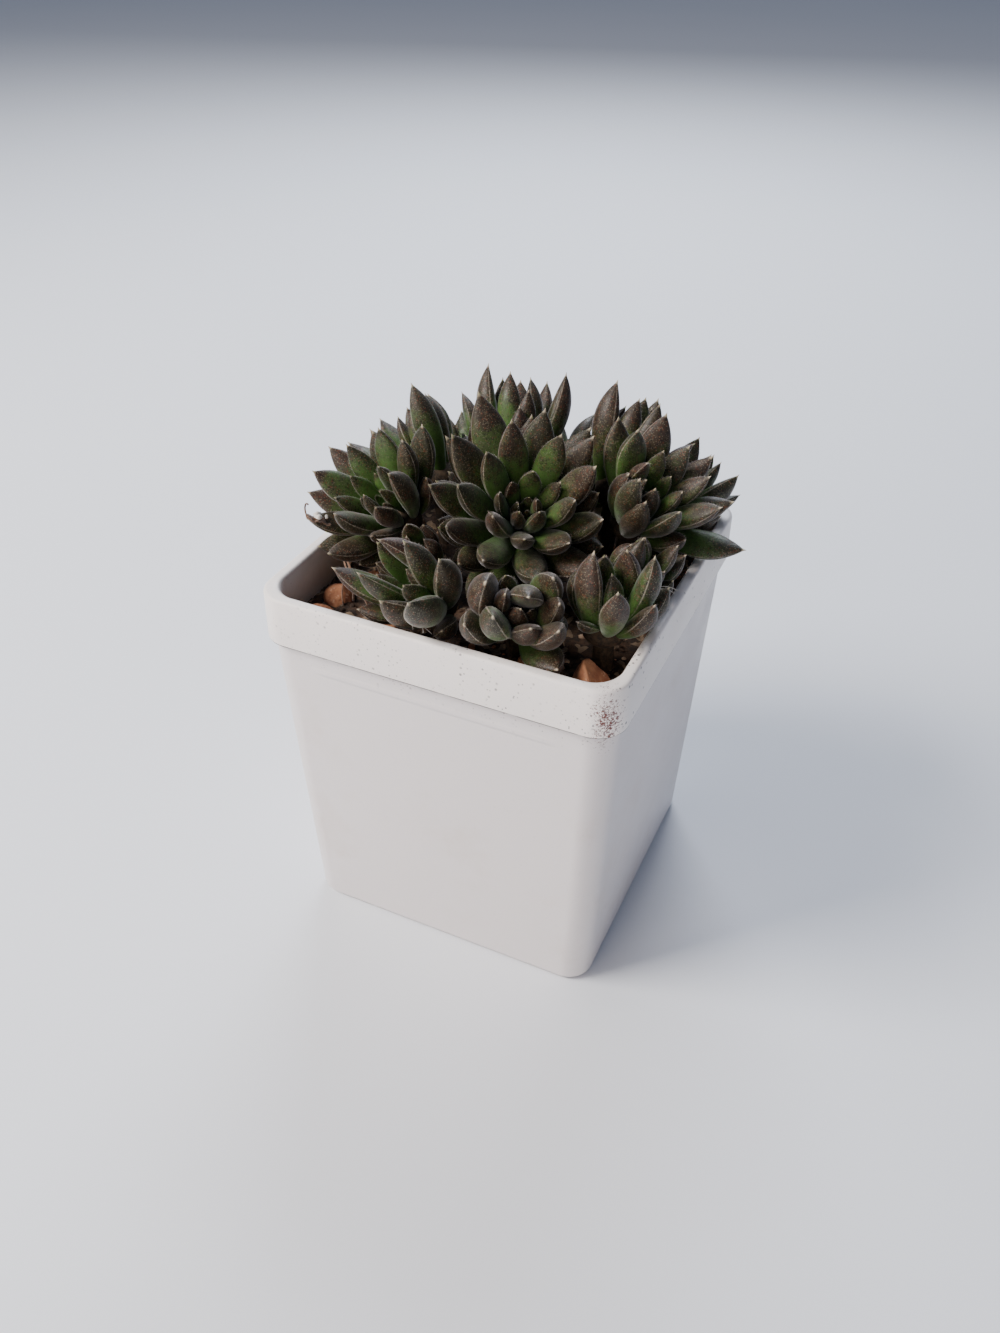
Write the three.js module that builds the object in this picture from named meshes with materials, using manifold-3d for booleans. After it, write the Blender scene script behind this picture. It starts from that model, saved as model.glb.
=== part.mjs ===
// Potted Sinocrassula yunnanensis: a square tapered pot, gritty soil with pebbles,
// and a low dome of crowded leaf rosettes.
// Millimetres, +Z up. The origin is on the floor under the middle of the pot, whose front faces -Y.
import * as THREE from "three";
import { mergeVertices } from "three/addons/utils/BufferGeometryUtils.js";
import Module from "manifold-3d";

// Pot
const POT_WIDTH = 75;
const POT_HEIGHT = 84;
const BAND_HEIGHT = 10.7;
const BAND_FOOT_WIDTH = 75.2;
const BODY_TOP_WIDTH = 73.1;
const BASE_WIDTH = 67.3;
const CORNER_RADIUS = 6;
const EDGE_ROUND = 0.7;
const FOOT_ROUND = 1.6;
const LIP_THICKNESS = 2.4;
const WALL_THICKNESS = 1.6;
const FLOOR_THICKNESS = 2;
const DRAIN_RADIUS = 3;
const DRAIN_SPACING = 34;

// Soil and pebbles
const SEAT_GAP = 0.3;
const SOIL_TOP = 74.5;
const SOIL_ROUGHNESS = 0.7;
const SOIL_RINGS = 4;
const LOOSE_PEBBLES = 7;
const PEBBLE_TOP = 78;

// Leaves
const GROUND_CLEARANCE = 78.5;
const HEAD_GAP = 0.5;
const STEM_RADIUS = 2;
const STEM_FOOT = 60;
const CROWN_MARGIN = 2;
const FAN_HEIGHT = 7;
const GOLDEN_TURN = Math.PI * (3 - Math.sqrt(5));
const WIDEST_AT = 0.6;
const ROOT_WIDTH = 0.36;
const SMALLEST_LEAF = 4.5;

// Each rosette: crown point, lean of its axis in degrees and the way it leans, leaves planned,
// longest leaf, leaf width by length, how far the outer leaves open, crown depth, and its
// share of room among its neighbours.
const TOWARD_FRONT = -66;
const ROSETTES = [
  { name: "rosette_centre", crown: [2.5, 0, 91], lean: 40, toward: -59, leaves: 52,
    length: 24, width: 0.3, spread: 94.5, depth: 9.5, room: 23.5, phase: 165 },
  { name: "rosette_front", crown: [12.5, -23.5, 84.5], lean: 41, toward: -58, leaves: 27,
    length: 21, width: 0.39, spread: 97, depth: 5, room: 10, phase: 67 },
  { name: "rosette_left", crown: [-22.5, -7.5, 90.5], lean: 40, toward: -97, leaves: 36,
    length: 18, width: 0.32, spread: 104, depth: 7, room: 13, phase: 43 },
  { name: "rosette_right", crown: [23, 9, 93], lean: 33, toward: -48, leaves: 36,
    length: 20, width: 0.3, spread: 95.5, depth: 7, room: 13, phase: 114 },
  { name: "rosette_front_right", crown: [27.5, -18.5, 85], lean: 8, toward: -89, leaves: 14,
    length: 19, width: 0.33, spread: 97.5, depth: 3, room: 8.5, phase: 106 },
  { name: "rosette_front_left", crown: [-6.5, -23.5, 84.5], lean: 34, toward: 222, leaves: 20,
    length: 20.5, width: 0.33, spread: 100.5, depth: 5.5, room: 12, phase: 282 },
  { name: "rosette_back_left", crown: [-24, 12, 93], lean: 30, toward: 165, leaves: 24,
    length: 19, width: 0.33, spread: 92, depth: 8, room: 9, phase: 0 },
  { name: "rosette_back", crown: [-8, 20, 95], lean: 24, toward: 115, leaves: 26,
    length: 21, width: 0.31, spread: 92, depth: 8, room: 10, phase: 0 },
  { name: "rosette_back_right", crown: [14, 25, 93], lean: 24, toward: 70, leaves: 25,
    length: 21, width: 0.31, spread: 92, depth: 8, room: 10, phase: 0 },
  { name: "rosette_rear_left", crown: [-22.5, 25.5, 88.5], lean: 38, toward: 135, leaves: 20,
    length: 18, width: 0.33, spread: 92, depth: 8, room: 8, phase: 0 },
  { name: "rosette_rear", crown: [3, 29.5, 87], lean: 42, toward: 90, leaves: 20,
    length: 18, width: 0.33, spread: 92, depth: 8, room: 8, phase: 0 },
  { name: "rosette_rear_right", crown: [24.5, 27, 88], lean: 34, toward: 50, leaves: 21,
    length: 18, width: 0.33, spread: 92, depth: 8, room: 8, phase: 0 },
  { name: "offset_left", crown: [-12.6, -13.6, 83.5], lean: 20, toward: 250, leaves: 11,
    length: 14.5, width: 0.38, spread: 90, depth: 4, room: 6, phase: 60 },
  { name: "offset_right", crown: [26, -4, 86], lean: 20, toward: -25, leaves: 12,
    length: 15, width: 0.36, spread: 95, depth: 5, room: 7, phase: 60 },
];

const wasm = await Module();
wasm.setup();

const radians = THREE.MathUtils.degToRad;
const clamp = THREE.MathUtils.clamp;

// A repeatable random draw: each call gives a value between low and high.
function drawFrom(seed) {
  let state = seed;
  return (low, high) => {
    state = (state * 48271) % 2147483647;
    return low + ((high - low) * state) / 2147483647;
  };
}

// Solid helpers

function toSolid(geometry) {
  const bare = geometry.clone();
  bare.deleteAttribute("normal");
  bare.deleteAttribute("uv");
  const merged = mergeVertices(bare, 1e-4);
  return new wasm.Manifold(
    new wasm.Mesh({
      numProp: 3,
      vertProperties: new Float32Array(merged.attributes.position.array),
      triVerts: new Uint32Array(merged.index.array),
    }),
  );
}

function toMesh(solid, name, material) {
  const { vertProperties, triVerts } = solid.getMesh();
  const geometry = new THREE.BufferGeometry();
  geometry.setAttribute("position", new THREE.BufferAttribute(vertProperties, 3));
  geometry.setIndex(new THREE.BufferAttribute(triVerts, 1));
  geometry.computeVertexNormals();
  const mesh = new THREE.Mesh(geometry, material);
  mesh.name = name;
  return mesh;
}

// Skins a stack of rings, each a list of points in the same order, and caps both ends.
// A cap is a fan round the ring's own middle, or a single given point.
function loft(rings, firstPoint, lastPoint) {
  const points = rings.flat();
  const count = rings[0].length;
  const faces = [];
  for (let r = 0; r + 1 < rings.length; r++) {
    for (let i = 0; i < count; i++) {
      const a = r * count + i;
      const b = r * count + ((i + 1) % count);
      faces.push(a, b, b + count, a, b + count, a + count);
    }
  }
  const middle = (ring) =>
    ring.reduce((sum, p) => sum.add(p), new THREE.Vector3()).divideScalar(count);
  const first = points.push(firstPoint ?? middle(rings[0])) - 1;
  const last = points.push(lastPoint ?? middle(rings.at(-1))) - 1;
  const top = (rings.length - 1) * count;
  for (let i = 0; i < count; i++) {
    const j = (i + 1) % count;
    faces.push(first, j, i);
    faces.push(last, top + i, top + j);
  }
  const geometry = new THREE.BufferGeometry().setFromPoints(points);
  geometry.setIndex(faces);
  return toSolid(geometry);
}

// Points of a square with round corners, anticlockwise seen from above.
function roundedSquare(width, radius, z, arcSteps = 4) {
  const half = width / 2 - radius;
  const points = [];
  for (let corner = 0; corner < 4; corner++) {
    const start = (corner * Math.PI) / 2;
    const cx = half * Math.SQRT2 * Math.cos(start + Math.PI / 4);
    const cy = half * Math.SQRT2 * Math.sin(start + Math.PI / 4);
    for (let i = 0; i <= arcSteps; i++) {
      const angle = start + (i / arcSteps) * (Math.PI / 2);
      points.push(
        new THREE.Vector3(cx + radius * Math.cos(angle), cy + radius * Math.sin(angle), z),
      );
    }
  }
  return points;
}

function bodyWidthAt(z) {
  return BASE_WIDTH + ((BODY_TOP_WIDTH - BASE_WIDTH) * z) / (POT_HEIGHT - BAND_HEIGHT);
}

function cavityWidthAt(z) {
  const top = POT_WIDTH - 2 * LIP_THICKNESS;
  const floor = bodyWidthAt(FLOOR_THICKNESS) - 2 * WALL_THICKNESS;
  return floor + ((top - floor) * (z - FLOOR_THICKNESS)) / (POT_HEIGHT - FLOOR_THICKNESS);
}

function makePot() {
  const bandFoot = POT_HEIGHT - BAND_HEIGHT;
  const r = CORNER_RADIUS;
  const innerRadius = CORNER_RADIUS - LIP_THICKNESS;
  const outer = [
    roundedSquare(BASE_WIDTH - 2 * FOOT_ROUND, r - FOOT_ROUND, 0),
    roundedSquare(BASE_WIDTH - 0.6 * FOOT_ROUND, r - 0.3 * FOOT_ROUND, 0.3 * FOOT_ROUND),
    roundedSquare(bodyWidthAt(FOOT_ROUND), r, FOOT_ROUND),
    roundedSquare(BODY_TOP_WIDTH, r, bandFoot),
    roundedSquare(BAND_FOOT_WIDTH - 0.5, r, bandFoot + 0.05),
    roundedSquare(BAND_FOOT_WIDTH, r, bandFoot + 0.4),
    roundedSquare(POT_WIDTH, r, POT_HEIGHT - EDGE_ROUND),
    roundedSquare(POT_WIDTH - 0.6 * EDGE_ROUND, r, POT_HEIGHT - 0.3 * EDGE_ROUND),
    roundedSquare(POT_WIDTH - 2 * EDGE_ROUND, r - EDGE_ROUND, POT_HEIGHT),
  ];
  const inner = [
    roundedSquare(cavityWidthAt(POT_HEIGHT) + EDGE_ROUND, innerRadius + 0.3, POT_HEIGHT),
    roundedSquare(cavityWidthAt(POT_HEIGHT), innerRadius, POT_HEIGHT - EDGE_ROUND),
    roundedSquare(cavityWidthAt(bandFoot - 1), innerRadius, bandFoot - 1),
    roundedSquare(cavityWidthAt(FLOOR_THICKNESS), innerRadius, FLOOR_THICKNESS),
  ];
  let pot = loft([...outer, ...inner]);
  for (const sx of [-1, 1]) {
    for (const sy of [-1, 1]) {
      const drain = new THREE.CylinderGeometry(DRAIN_RADIUS, DRAIN_RADIUS, 6, 20);
      drain.rotateX(Math.PI / 2);
      drain.translate((sx * DRAIN_SPACING) / 2, (sy * DRAIN_SPACING) / 2, 1);
      pot = pot.subtract(toSolid(drain));
    }
  }
  return pot;
}

// Rosettes

function axesOf(rosette) {
  const lean = radians(rosette.lean);
  const toward = radians(rosette.toward);
  const up = new THREE.Vector3(
    Math.sin(lean) * Math.cos(toward),
    Math.sin(lean) * Math.sin(toward),
    Math.cos(lean),
  );
  const across = new THREE.Vector3(1, 0, 0).addScaledVector(up, -up.x).normalize();
  const along = new THREE.Vector3().crossVectors(up, across);
  return { up, across, along, crown: new THREE.Vector3(...rosette.crown) };
}

// Leaves follow one another round the crown by the golden turn, young ones upright in the
// heart, old ones long, low and wide.
function sproutLeaves(rosette, index) {
  const draw = drawFrom(12 + 97 * index);
  const leaves = [];
  for (let i = 0; i < rosette.leaves; i++) {
    const age = (i + 0.5) / rosette.leaves;
    const grown = 0.24 + 0.76 * Math.sin((Math.PI / 2) * Math.min(1, age / 0.5));
    const length = rosette.length * grown * (1 + draw(-0.09, 0.09));
    const tilt = radians(8 + (rosette.spread - 8) * age ** 0.55 + draw(-5, 5));
    const turn = radians(rosette.phase) + i * GOLDEN_TURN + radians(draw(-6, 6));
    const width = rosette.width * length * (1 + draw(-0.08, 0.1)) * (0.92 + 0.12 * age);
    leaves.push({
      rootOut: 0.5 + 2.6 * Math.sqrt(age),
      rootDown: rosette.depth * age,
      turn,
      tilt,
      curl: radians(12 + 20 * age + draw(-6, 6)),
      length,
      planned: length,
      width,
      thick: width * (0.7 + 0.06 * age),
    });
  }
  return leaves;
}

// Width along the leaf as a share of its widest.
function leafOutline(t) {
  if (t <= WIDEST_AT) {
    return ROOT_WIDTH + (1 - ROOT_WIDTH) * Math.sin((Math.PI / 2) * (t / WIDEST_AT));
  }
  return 1 - ((t - WIDEST_AT) / (1 - WIDEST_AT)) ** 2;
}

// A leaf leaves its root at its tilt and curls up toward the axis along a round arc.
function leafFrame(leaf, axes) {
  const out = new THREE.Vector3()
    .addScaledVector(axes.across, Math.cos(leaf.turn))
    .addScaledVector(axes.along, Math.sin(leaf.turn));
  const side = new THREE.Vector3().crossVectors(axes.up, out);
  const root = axes.crown
    .clone()
    .addScaledVector(axes.up, -leaf.rootDown)
    .addScaledVector(out, leaf.rootOut);
  const at = (t) => {
    const angle = leaf.tilt - leaf.curl * t;
    const reach = (Math.cos(angle) - Math.cos(leaf.tilt)) / leaf.curl;
    const rise = (Math.sin(leaf.tilt) - Math.sin(angle)) / leaf.curl;
    const point = root
      .clone()
      .addScaledVector(out, leaf.length * reach)
      .addScaledVector(axes.up, leaf.length * rise);
    const face = new THREE.Vector3()
      .addScaledVector(out, -Math.cos(angle))
      .addScaledVector(axes.up, Math.sin(angle));
    return { point, face };
  };
  return { root, side, at };
}

// Round feelers along a leaf, in pairs, that stand for its body while it finds its place.
const FEELER_STATIONS = [0.3, 0.55, 0.78, 1];

function feelersOf(leaf, axes) {
  const frame = leafFrame(leaf, axes);
  const feelers = [];
  for (const sign of [1, -1]) {
    for (const t of FEELER_STATIONS) {
      const share = leafOutline(t);
      const radius = Math.max(leaf.thick * share * 0.51, 0.35);
      const off = Math.max((leaf.width * share) / 2 - radius, 0);
      const { point, face } = frame.at(t);
      point.addScaledVector(frame.side, sign * off).addScaledVector(face, -0.12 * radius);
      feelers.push({ point, face, radius, push: new THREE.Vector3(), hits: 0 });
    }
  }
  return { ...frame, feelers };
}

// Planes between a rosette and its neighbours; each keeps to its own side of them.
function bordersOf(rosette, all) {
  const heart = (r) => {
    const { crown, up } = axesOf(r);
    return crown.addScaledVector(up, FAN_HEIGHT);
  };
  const own = heart(rosette);
  return all
    .filter((other) => other !== rosette)
    .map((other) => {
      const normal = heart(other).sub(own);
      const distance = normal.length();
      normal.normalize();
      const share = rosette.room / (rosette.room + other.room);
      return { normal, limit: normal.dot(own) + distance * share - HEAD_GAP / 2 };
    });
}

function pushFromOwnLeaves(probes) {
  for (let i = 0; i < probes.length; i++) {
    for (let j = i + 1; j < probes.length; j++) {
      for (const a of probes[i].feelers) {
        for (const b of probes[j].feelers) {
          const apart = a.point.clone().sub(b.point);
          const distance = apart.length() + 1e-9;
          const overlap = a.radius + b.radius - distance;
          if (overlap <= 0) continue;
          apart.multiplyScalar((overlap * 0.5) / distance);
          a.push.add(apart);
          b.push.sub(apart);
          a.hits += 1;
          b.hits += 1;
        }
      }
    }
  }
}

// Pushes a feeler back over the borders, off the pot's rim and up from the soil.
// Gives how deep the worst of them is.
function pushFromSurroundings(feeler, borders) {
  const { point, radius, push } = feeler;
  let worst = 0;
  let deepest = null;
  for (const border of borders) {
    const over = border.normal.dot(point) + radius - border.limit;
    if (over > worst) {
      worst = over;
      deepest = border;
    }
  }
  if (deepest) {
    push.addScaledVector(deepest.normal, -worst);
    feeler.hits += 1;
  }
  const inside = cavityWidthAt(POT_HEIGHT) / 2 - 0.6;
  const up = POT_HEIGHT + 0.4 - (point.z - radius);
  if (up > 0.1) {
    for (const axis of ["x", "y"]) {
      const over = Math.abs(point[axis]) + radius - inside;
      if (over <= 0) continue;
      if (over < up) push[axis] -= Math.sign(point[axis]) * over;
      else push.z += up;
      feeler.hits += 1;
      worst = Math.max(worst, Math.min(over, up));
    }
  }
  const low = GROUND_CLEARANCE - (point.z - radius);
  if (low > 0) {
    push.z += low;
    feeler.hits += 1;
    worst = Math.max(worst, low);
  }
  return worst;
}

const SETTLE_STEPS = 60;
const SPREADING_STEPS = 42;
const FIRST_SHRINKING_STEP = 13;

function settle(rosette, leaves, all) {
  const axes = axesOf(rosette);
  const borders = bordersOf(rosette, all);
  for (let step = 0; step < SETTLE_STEPS; step++) {
    const probes = leaves.map((leaf) => feelersOf(leaf, axes));
    if (step < SPREADING_STEPS) pushFromOwnLeaves(probes);
    probes.forEach((probe, i) => {
      const leaf = leaves[i];
      let worst = 0;
      let swing = 0;
      let bend = 0;
      let hits = 0;
      for (const feeler of probe.feelers) {
        worst = Math.max(worst, pushFromSurroundings(feeler, borders));
        const arm = feeler.point.distanceTo(probe.root);
        swing += feeler.push.dot(probe.side) / arm;
        bend -= feeler.push.dot(feeler.face) / arm;
        hits += feeler.hits;
      }
      const ease = 1.6 / Math.max(hits, 1);
      swing *= ease / Math.max(Math.sin(leaf.tilt), 0.35);
      leaf.turn += clamp(swing, -0.1, 0.1);
      leaf.tilt = clamp(leaf.tilt + clamp(bend * ease, -0.1, 0.1), 0.03, 1.9);
      if (step >= FIRST_SHRINKING_STEP) {
        const shrink = 1 - 0.02 * clamp(worst / 0.3, 0, 1);
        leaf.length *= shrink;
        leaf.width *= shrink ** 0.6;
        leaf.thick *= shrink ** 0.6;
      }
    });
  }
  return leaves.filter(
    (leaf) => leaf.length > 0.6 * leaf.planned && leaf.length > SMALLEST_LEAF,
  );
}

// Cross-section of a leaf, as shares of half its width and of its thickness.
const LEAF_SECTION = [
  [-1, 0],
  [0, -0.62],
  [1, 0],
  [0, 0.34],
];
const LEAF_STATIONS = [0, 0.35, 0.75];
const YOUNG_LEAF_STATIONS = [0, 0.6];
const YOUNG_LENGTH = 12;

function leafSolid(leaf, axes) {
  const frame = leafFrame(leaf, axes);
  const stations = leaf.length < YOUNG_LENGTH ? YOUNG_LEAF_STATIONS : LEAF_STATIONS;
  const rings = stations.map((t) => {
    const { point, face } = frame.at(t);
    const share = leafOutline(t);
    return LEAF_SECTION.map(([across, thick]) =>
      point
        .clone()
        .addScaledVector(frame.side, (across * share * leaf.width) / 2)
        .addScaledVector(face, thick * share * leaf.thick),
    );
  });
  return loft(rings, null, frame.at(1).point);
}

function ringRound(centre, up, radius, sides = 7) {
  const across = new THREE.Vector3(1, 0, 0).addScaledVector(up, -up.x).normalize();
  const along = new THREE.Vector3().crossVectors(up, across);
  return Array.from({ length: sides }, (_, i) => {
    const angle = (2 * Math.PI * i) / sides;
    return centre
      .clone()
      .addScaledVector(across, radius * Math.cos(angle))
      .addScaledVector(along, radius * Math.sin(angle));
  });
}

// Where a stem enters the soil: under its crown, drawn halfway back along its lean.
function stemFoot(rosette) {
  const { crown, up } = axesOf(rosette);
  const drop = (crown.z - SOIL_TOP) / up.z;
  return new THREE.Vector3(
    crown.x - 0.6 * drop * up.x,
    crown.y - 0.6 * drop * up.y,
    STEM_FOOT,
  );
}

function stemSolid(rosette) {
  const { crown, up } = axesOf(rosette);
  const vertical = new THREE.Vector3(0, 0, 1);
  const foot = stemFoot(rosette);
  const ground = foot.clone().setZ(SOIL_TOP + 1);
  const collar = crown.clone().addScaledVector(up, -rosette.depth - 1);
  const half = ground.clone().lerp(collar, 0.5);
  const slope = vertical.clone().add(up).normalize();
  const rings = [
    ringRound(foot, vertical, STEM_RADIUS),
    ringRound(ground, vertical, STEM_RADIUS),
  ];
  if (collar.z > ground.z + 1) {
    rings.push(ringRound(half, slope, STEM_RADIUS * 1.1));
    rings.push(ringRound(collar, up, STEM_RADIUS * 1.3));
  }
  for (const age of [0.85, 0.4, 0.1]) {
    const centre = crown.clone().addScaledVector(up, -rosette.depth * age);
    if (centre.z < ground.z + 0.5) continue;
    rings.push(ringRound(centre, up, 0.5 + 2.6 * Math.sqrt(age) + CROWN_MARGIN));
  }
  return loft(rings, null, crown.clone().addScaledVector(up, 0.8));
}

function largestPiece(solid) {
  return solid.decompose().reduce((best, piece) =>
    piece.volume() > best.volume() ? piece : best,
  );
}

function makeRosette(rosette, index) {
  const axes = axesOf(rosette);
  const leaves = settle(rosette, sproutLeaves(rosette, index), ROSETTES);
  const parts = leaves.map((leaf) => leafSolid(leaf, axes));
  return largestPiece(wasm.Manifold.union([stemSolid(rosette), ...parts]));
}

// Pebbles: the ones that show in the two front corners, then loose ones along the walls.
const CORNER_PEBBLES = [
  { x: -29, y: -28.5, size: 4.6 },
  { x: -21, y: -30, size: 3.6 },
  { x: -29.5, y: -19.5, size: 3.7 },
  { x: 28.8, y: -29.2, size: 5.8, tall: 8.4, sharp: true },
];

function choosePebbles() {
  const draw = drawFrom(4021);
  const chosen = [...CORNER_PEBBLES];
  const stems = ROSETTES.map(stemFoot);
  const edge = cavityWidthAt(SOIL_TOP) / 2 - 1;
  while (chosen.length < CORNER_PEBBLES.length + LOOSE_PEBBLES) {
    const size = draw(2, 3.2);
    const reach = edge - size;
    const x = draw(-reach, reach);
    const y = draw(-reach, reach);
    const nearWall = Math.max(Math.abs(x), Math.abs(y)) > 20;
    const inCorner = Math.min(Math.abs(x), Math.abs(y)) > reach - 2;
    const clear = chosen.every((p) => Math.hypot(p.x - x, p.y - y) > p.size + size + 0.6);
    const offStems = stems.every((s) => Math.hypot(s.x - x, s.y - y) > size + 4);
    if (nearWall && !inCorner && clear && offStems) chosen.push({ x, y, size });
  }
  return chosen;
}

// A worn stone: a ball squashed by three draws, with a few soft dents. A tall one stands higher,
// and a sharp one is chipped flat.
function pebbleSolid({ x, y, size, tall, sharp }, index, grow) {
  const draw = drawFrom(700 + 31 * index);
  const radii = new THREE.Vector3(
    size * draw(0.88, 1),
    size * draw(0.7, 0.92),
    tall ?? Math.min(size * draw(0.6, 0.8), PEBBLE_TOP - SOIL_TOP - 0.6),
  ).addScalar(grow);
  const turn = draw(0, Math.PI);
  const dents = Array.from({ length: 5 }, () =>
    new THREE.Vector3(draw(-1, 1), draw(-1, 1), draw(-0.6, 1)).normalize(),
  );
  const ball = mergeVertices(
    new THREE.IcosahedronGeometry(1, 1).deleteAttribute("normal").deleteAttribute("uv"),
    1e-4,
  );
  const places = ball.attributes.position;
  for (let i = 0; i < places.count; i++) {
    const p = new THREE.Vector3().fromBufferAttribute(places, i);
    const reach = Math.max(...dents.map((dent) => p.dot(dent)));
    const worn = 1 - 0.7 * Math.max(reach - 0.72, 0);
    p.multiplyScalar(sharp ? Math.min(1, 0.62 / Math.max(reach, 0.1)) : worn).multiply(radii);
    p.applyAxisAngle(new THREE.Vector3(0, 0, 1), turn);
    places.setXYZ(i, p.x + x, p.y + y, p.z + SOIL_TOP + 0.5);
  }
  return toSolid(ball);
}

function makeSoil(pebbles) {
  const draw = drawFrom(311);
  const rings = [];
  const bottom = FLOOR_THICKNESS + SEAT_GAP;
  const corner = CORNER_RADIUS - LIP_THICKNESS - SEAT_GAP;
  for (const z of [bottom, SOIL_TOP - 1.5]) {
    rings.push(roundedSquare(cavityWidthAt(z) - 2 * SEAT_GAP, corner, z));
  }
  const width = cavityWidthAt(SOIL_TOP) - 2 * SEAT_GAP;
  for (let r = 0; r < SOIL_RINGS; r++) {
    const scale = 1 - r / SOIL_RINGS;
    const ring = roundedSquare(width * scale, corner * scale, SOIL_TOP);
    for (const p of ring) p.z += r === 0 ? -0.6 : draw(-SOIL_ROUGHNESS, SOIL_ROUGHNESS);
    rings.push(ring);
  }
  let soil = loft(rings);
  for (const rosette of ROSETTES) {
    const foot = stemFoot(rosette);
    const depth = SOIL_TOP + 3 - (STEM_FOOT - SEAT_GAP);
    const radius = STEM_RADIUS + 1.5 * SEAT_GAP;
    const hole = new THREE.CylinderGeometry(radius, radius, depth, 8);
    hole.rotateX(Math.PI / 2);
    hole.translate(foot.x, foot.y, STEM_FOOT - SEAT_GAP + depth / 2);
    soil = soil.subtract(toSolid(hole));
  }
  pebbles.forEach((pebble, i) => {
    soil = soil.subtract(pebbleSolid(pebble, i, 1.25 * SEAT_GAP));
  });
  return largestPiece(soil);
}

// Assembly

const whitePlastic = new THREE.MeshStandardMaterial({ color: 0xe6e1dc, roughness: 0.5 });
const darkSoil = new THREE.MeshStandardMaterial({ color: 0x3a2a20, roughness: 0.95 });
const warmStone = new THREE.MeshStandardMaterial({ color: 0xa9744c, roughness: 0.85 });
const leafSkin = new THREE.MeshStandardMaterial({ color: 0x4c4a34, roughness: 0.6 });

const plant = new THREE.Group();
plant.name = "potted_sinocrassula";
const pebbles = choosePebbles();

plant.add(toMesh(makePot(), "pot", whitePlastic));
plant.add(toMesh(makeSoil(pebbles), "soil", darkSoil));
pebbles.forEach((pebble, i) => {
  const name = `pebble_${String(i + 1).padStart(2, "0")}`;
  plant.add(toMesh(pebbleSolid(pebble, i, 0), name, warmStone));
});
ROSETTES.forEach((rosette, i) => {
  plant.add(toMesh(makeRosette(rosette, i), rosette.name, leafSkin));
});

export default plant;
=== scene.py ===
"""Potted Sinocrassula yunnanensis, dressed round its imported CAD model.

The frame is the CAD model's: +Z up, the pot's front faces -Y, and the origin is on the floor
under the middle of the pot. Finished meshes are in metres. The plants, the ground and the
litter are laid out in millimetres, as the solids are, and multiplied by MM at the end.
"""

from __future__ import annotations

import logging
import math
from collections.abc import Iterator
from contextlib import contextmanager
from dataclasses import dataclass
from enum import Enum
from functools import reduce
from itertools import product

import bpy
import numpy as np
from mathutils import Matrix, Vector, noise

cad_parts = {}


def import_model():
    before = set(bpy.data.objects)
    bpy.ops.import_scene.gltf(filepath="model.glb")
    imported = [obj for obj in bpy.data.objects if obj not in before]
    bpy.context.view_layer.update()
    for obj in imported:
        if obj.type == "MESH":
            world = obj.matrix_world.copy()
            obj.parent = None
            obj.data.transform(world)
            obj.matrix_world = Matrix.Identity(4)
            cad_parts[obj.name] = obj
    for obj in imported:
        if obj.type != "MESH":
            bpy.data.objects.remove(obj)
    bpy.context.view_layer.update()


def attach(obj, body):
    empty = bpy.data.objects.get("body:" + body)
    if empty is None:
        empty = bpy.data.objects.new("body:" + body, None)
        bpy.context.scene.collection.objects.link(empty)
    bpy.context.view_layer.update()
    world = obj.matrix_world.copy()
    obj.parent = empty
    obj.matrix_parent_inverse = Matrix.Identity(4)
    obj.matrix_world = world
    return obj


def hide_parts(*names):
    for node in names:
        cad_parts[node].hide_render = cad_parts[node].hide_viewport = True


LOG = logging.getLogger("potted_sinocrassula")
MM = 0.001
GOLDEN_TURN = math.pi * (3 - math.sqrt(5))
SOIL_TOP = 74.5
STEM_LEAN = 0.6

Point = tuple[float, float, float]
Colour = tuple[float, float, float, float]
Faces = list[tuple[int, ...]]
Socket = bpy.types.NodeSocket
Piece = bpy.types.Object
Material = bpy.types.Material


def srgb(red: int, green: int, blue: int) -> Colour:
    """Turn a colour as seen on a screen into the linear one that shaders take.

    Args:
        red: Red from 0 to 255.
        green: Green from 0 to 255.
        blue: Blue from 0 to 255.

    Returns:
        Linear red, green, blue and full alpha.
    """
    shares = [value / 255 for value in (red, green, blue)]
    linear = [s / 12.92 if s <= 0.04045 else ((s + 0.055) / 1.055) ** 2.4 for s in shares]
    return (*linear, 1.0)


class Slot(Enum):
    """Material slots of the part."""

    POT = "pot"
    SOIL = "soil"
    PEBBLE = "pebble"
    LEAF = "leaf"


class Draw:
    """A repeatable random draw, the same one that lays out the solids."""

    def __init__(self, seed: int) -> None:
        """Start the draw from a whole number above zero."""
        self.state = seed

    def between(self, low: float, high: float) -> float:
        """Give the next value between low and high."""
        self.state = (self.state * 48271) % 2147483647
        return low + (high - low) * self.state / 2147483647


class Seed(Enum):
    """First seed of each kind of draw, and the step to the next piece's seed."""

    LAYOUT = (12, 97)
    TINTS = (5003, 61)
    HAIRS = (7711, 37)
    STONE = (700, 31)
    PEBBLES = (4021, 0)
    CRUMBS = (909, 0)
    DRIED_TIP = (3301, 0)

    def draw(self, index: int = 0) -> Draw:
        """Start the draw of the piece with that index."""
        return Draw(self.value[0] + self.value[1] * index)


# Mesh helpers


def deselect() -> None:
    """Leave edit mode and select nothing."""
    if bpy.context.object and bpy.context.object.mode != "OBJECT":
        bpy.ops.object.mode_set(mode="OBJECT")
    bpy.ops.object.select_all(action="DESELECT")


def make_active(piece: Piece, *others: Piece) -> None:
    """Select objects and make the first one active.

    Args:
        piece: The object to make active.
        *others: Objects to select with it.
    """
    deselect()
    for chosen in (piece, *others):
        chosen.select_set(True)
    bpy.context.view_layer.objects.active = piece


def join(name: str, piece: Piece, *others: Piece) -> Piece:
    """Join objects into the first one and name it.

    Args:
        name: The joined object's name.
        piece: The object that stays.
        *others: Objects that go into it.

    Returns:
        The first object.
    """
    make_active(piece, *others)
    bpy.ops.object.join()
    piece.name = name
    return piece


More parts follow.
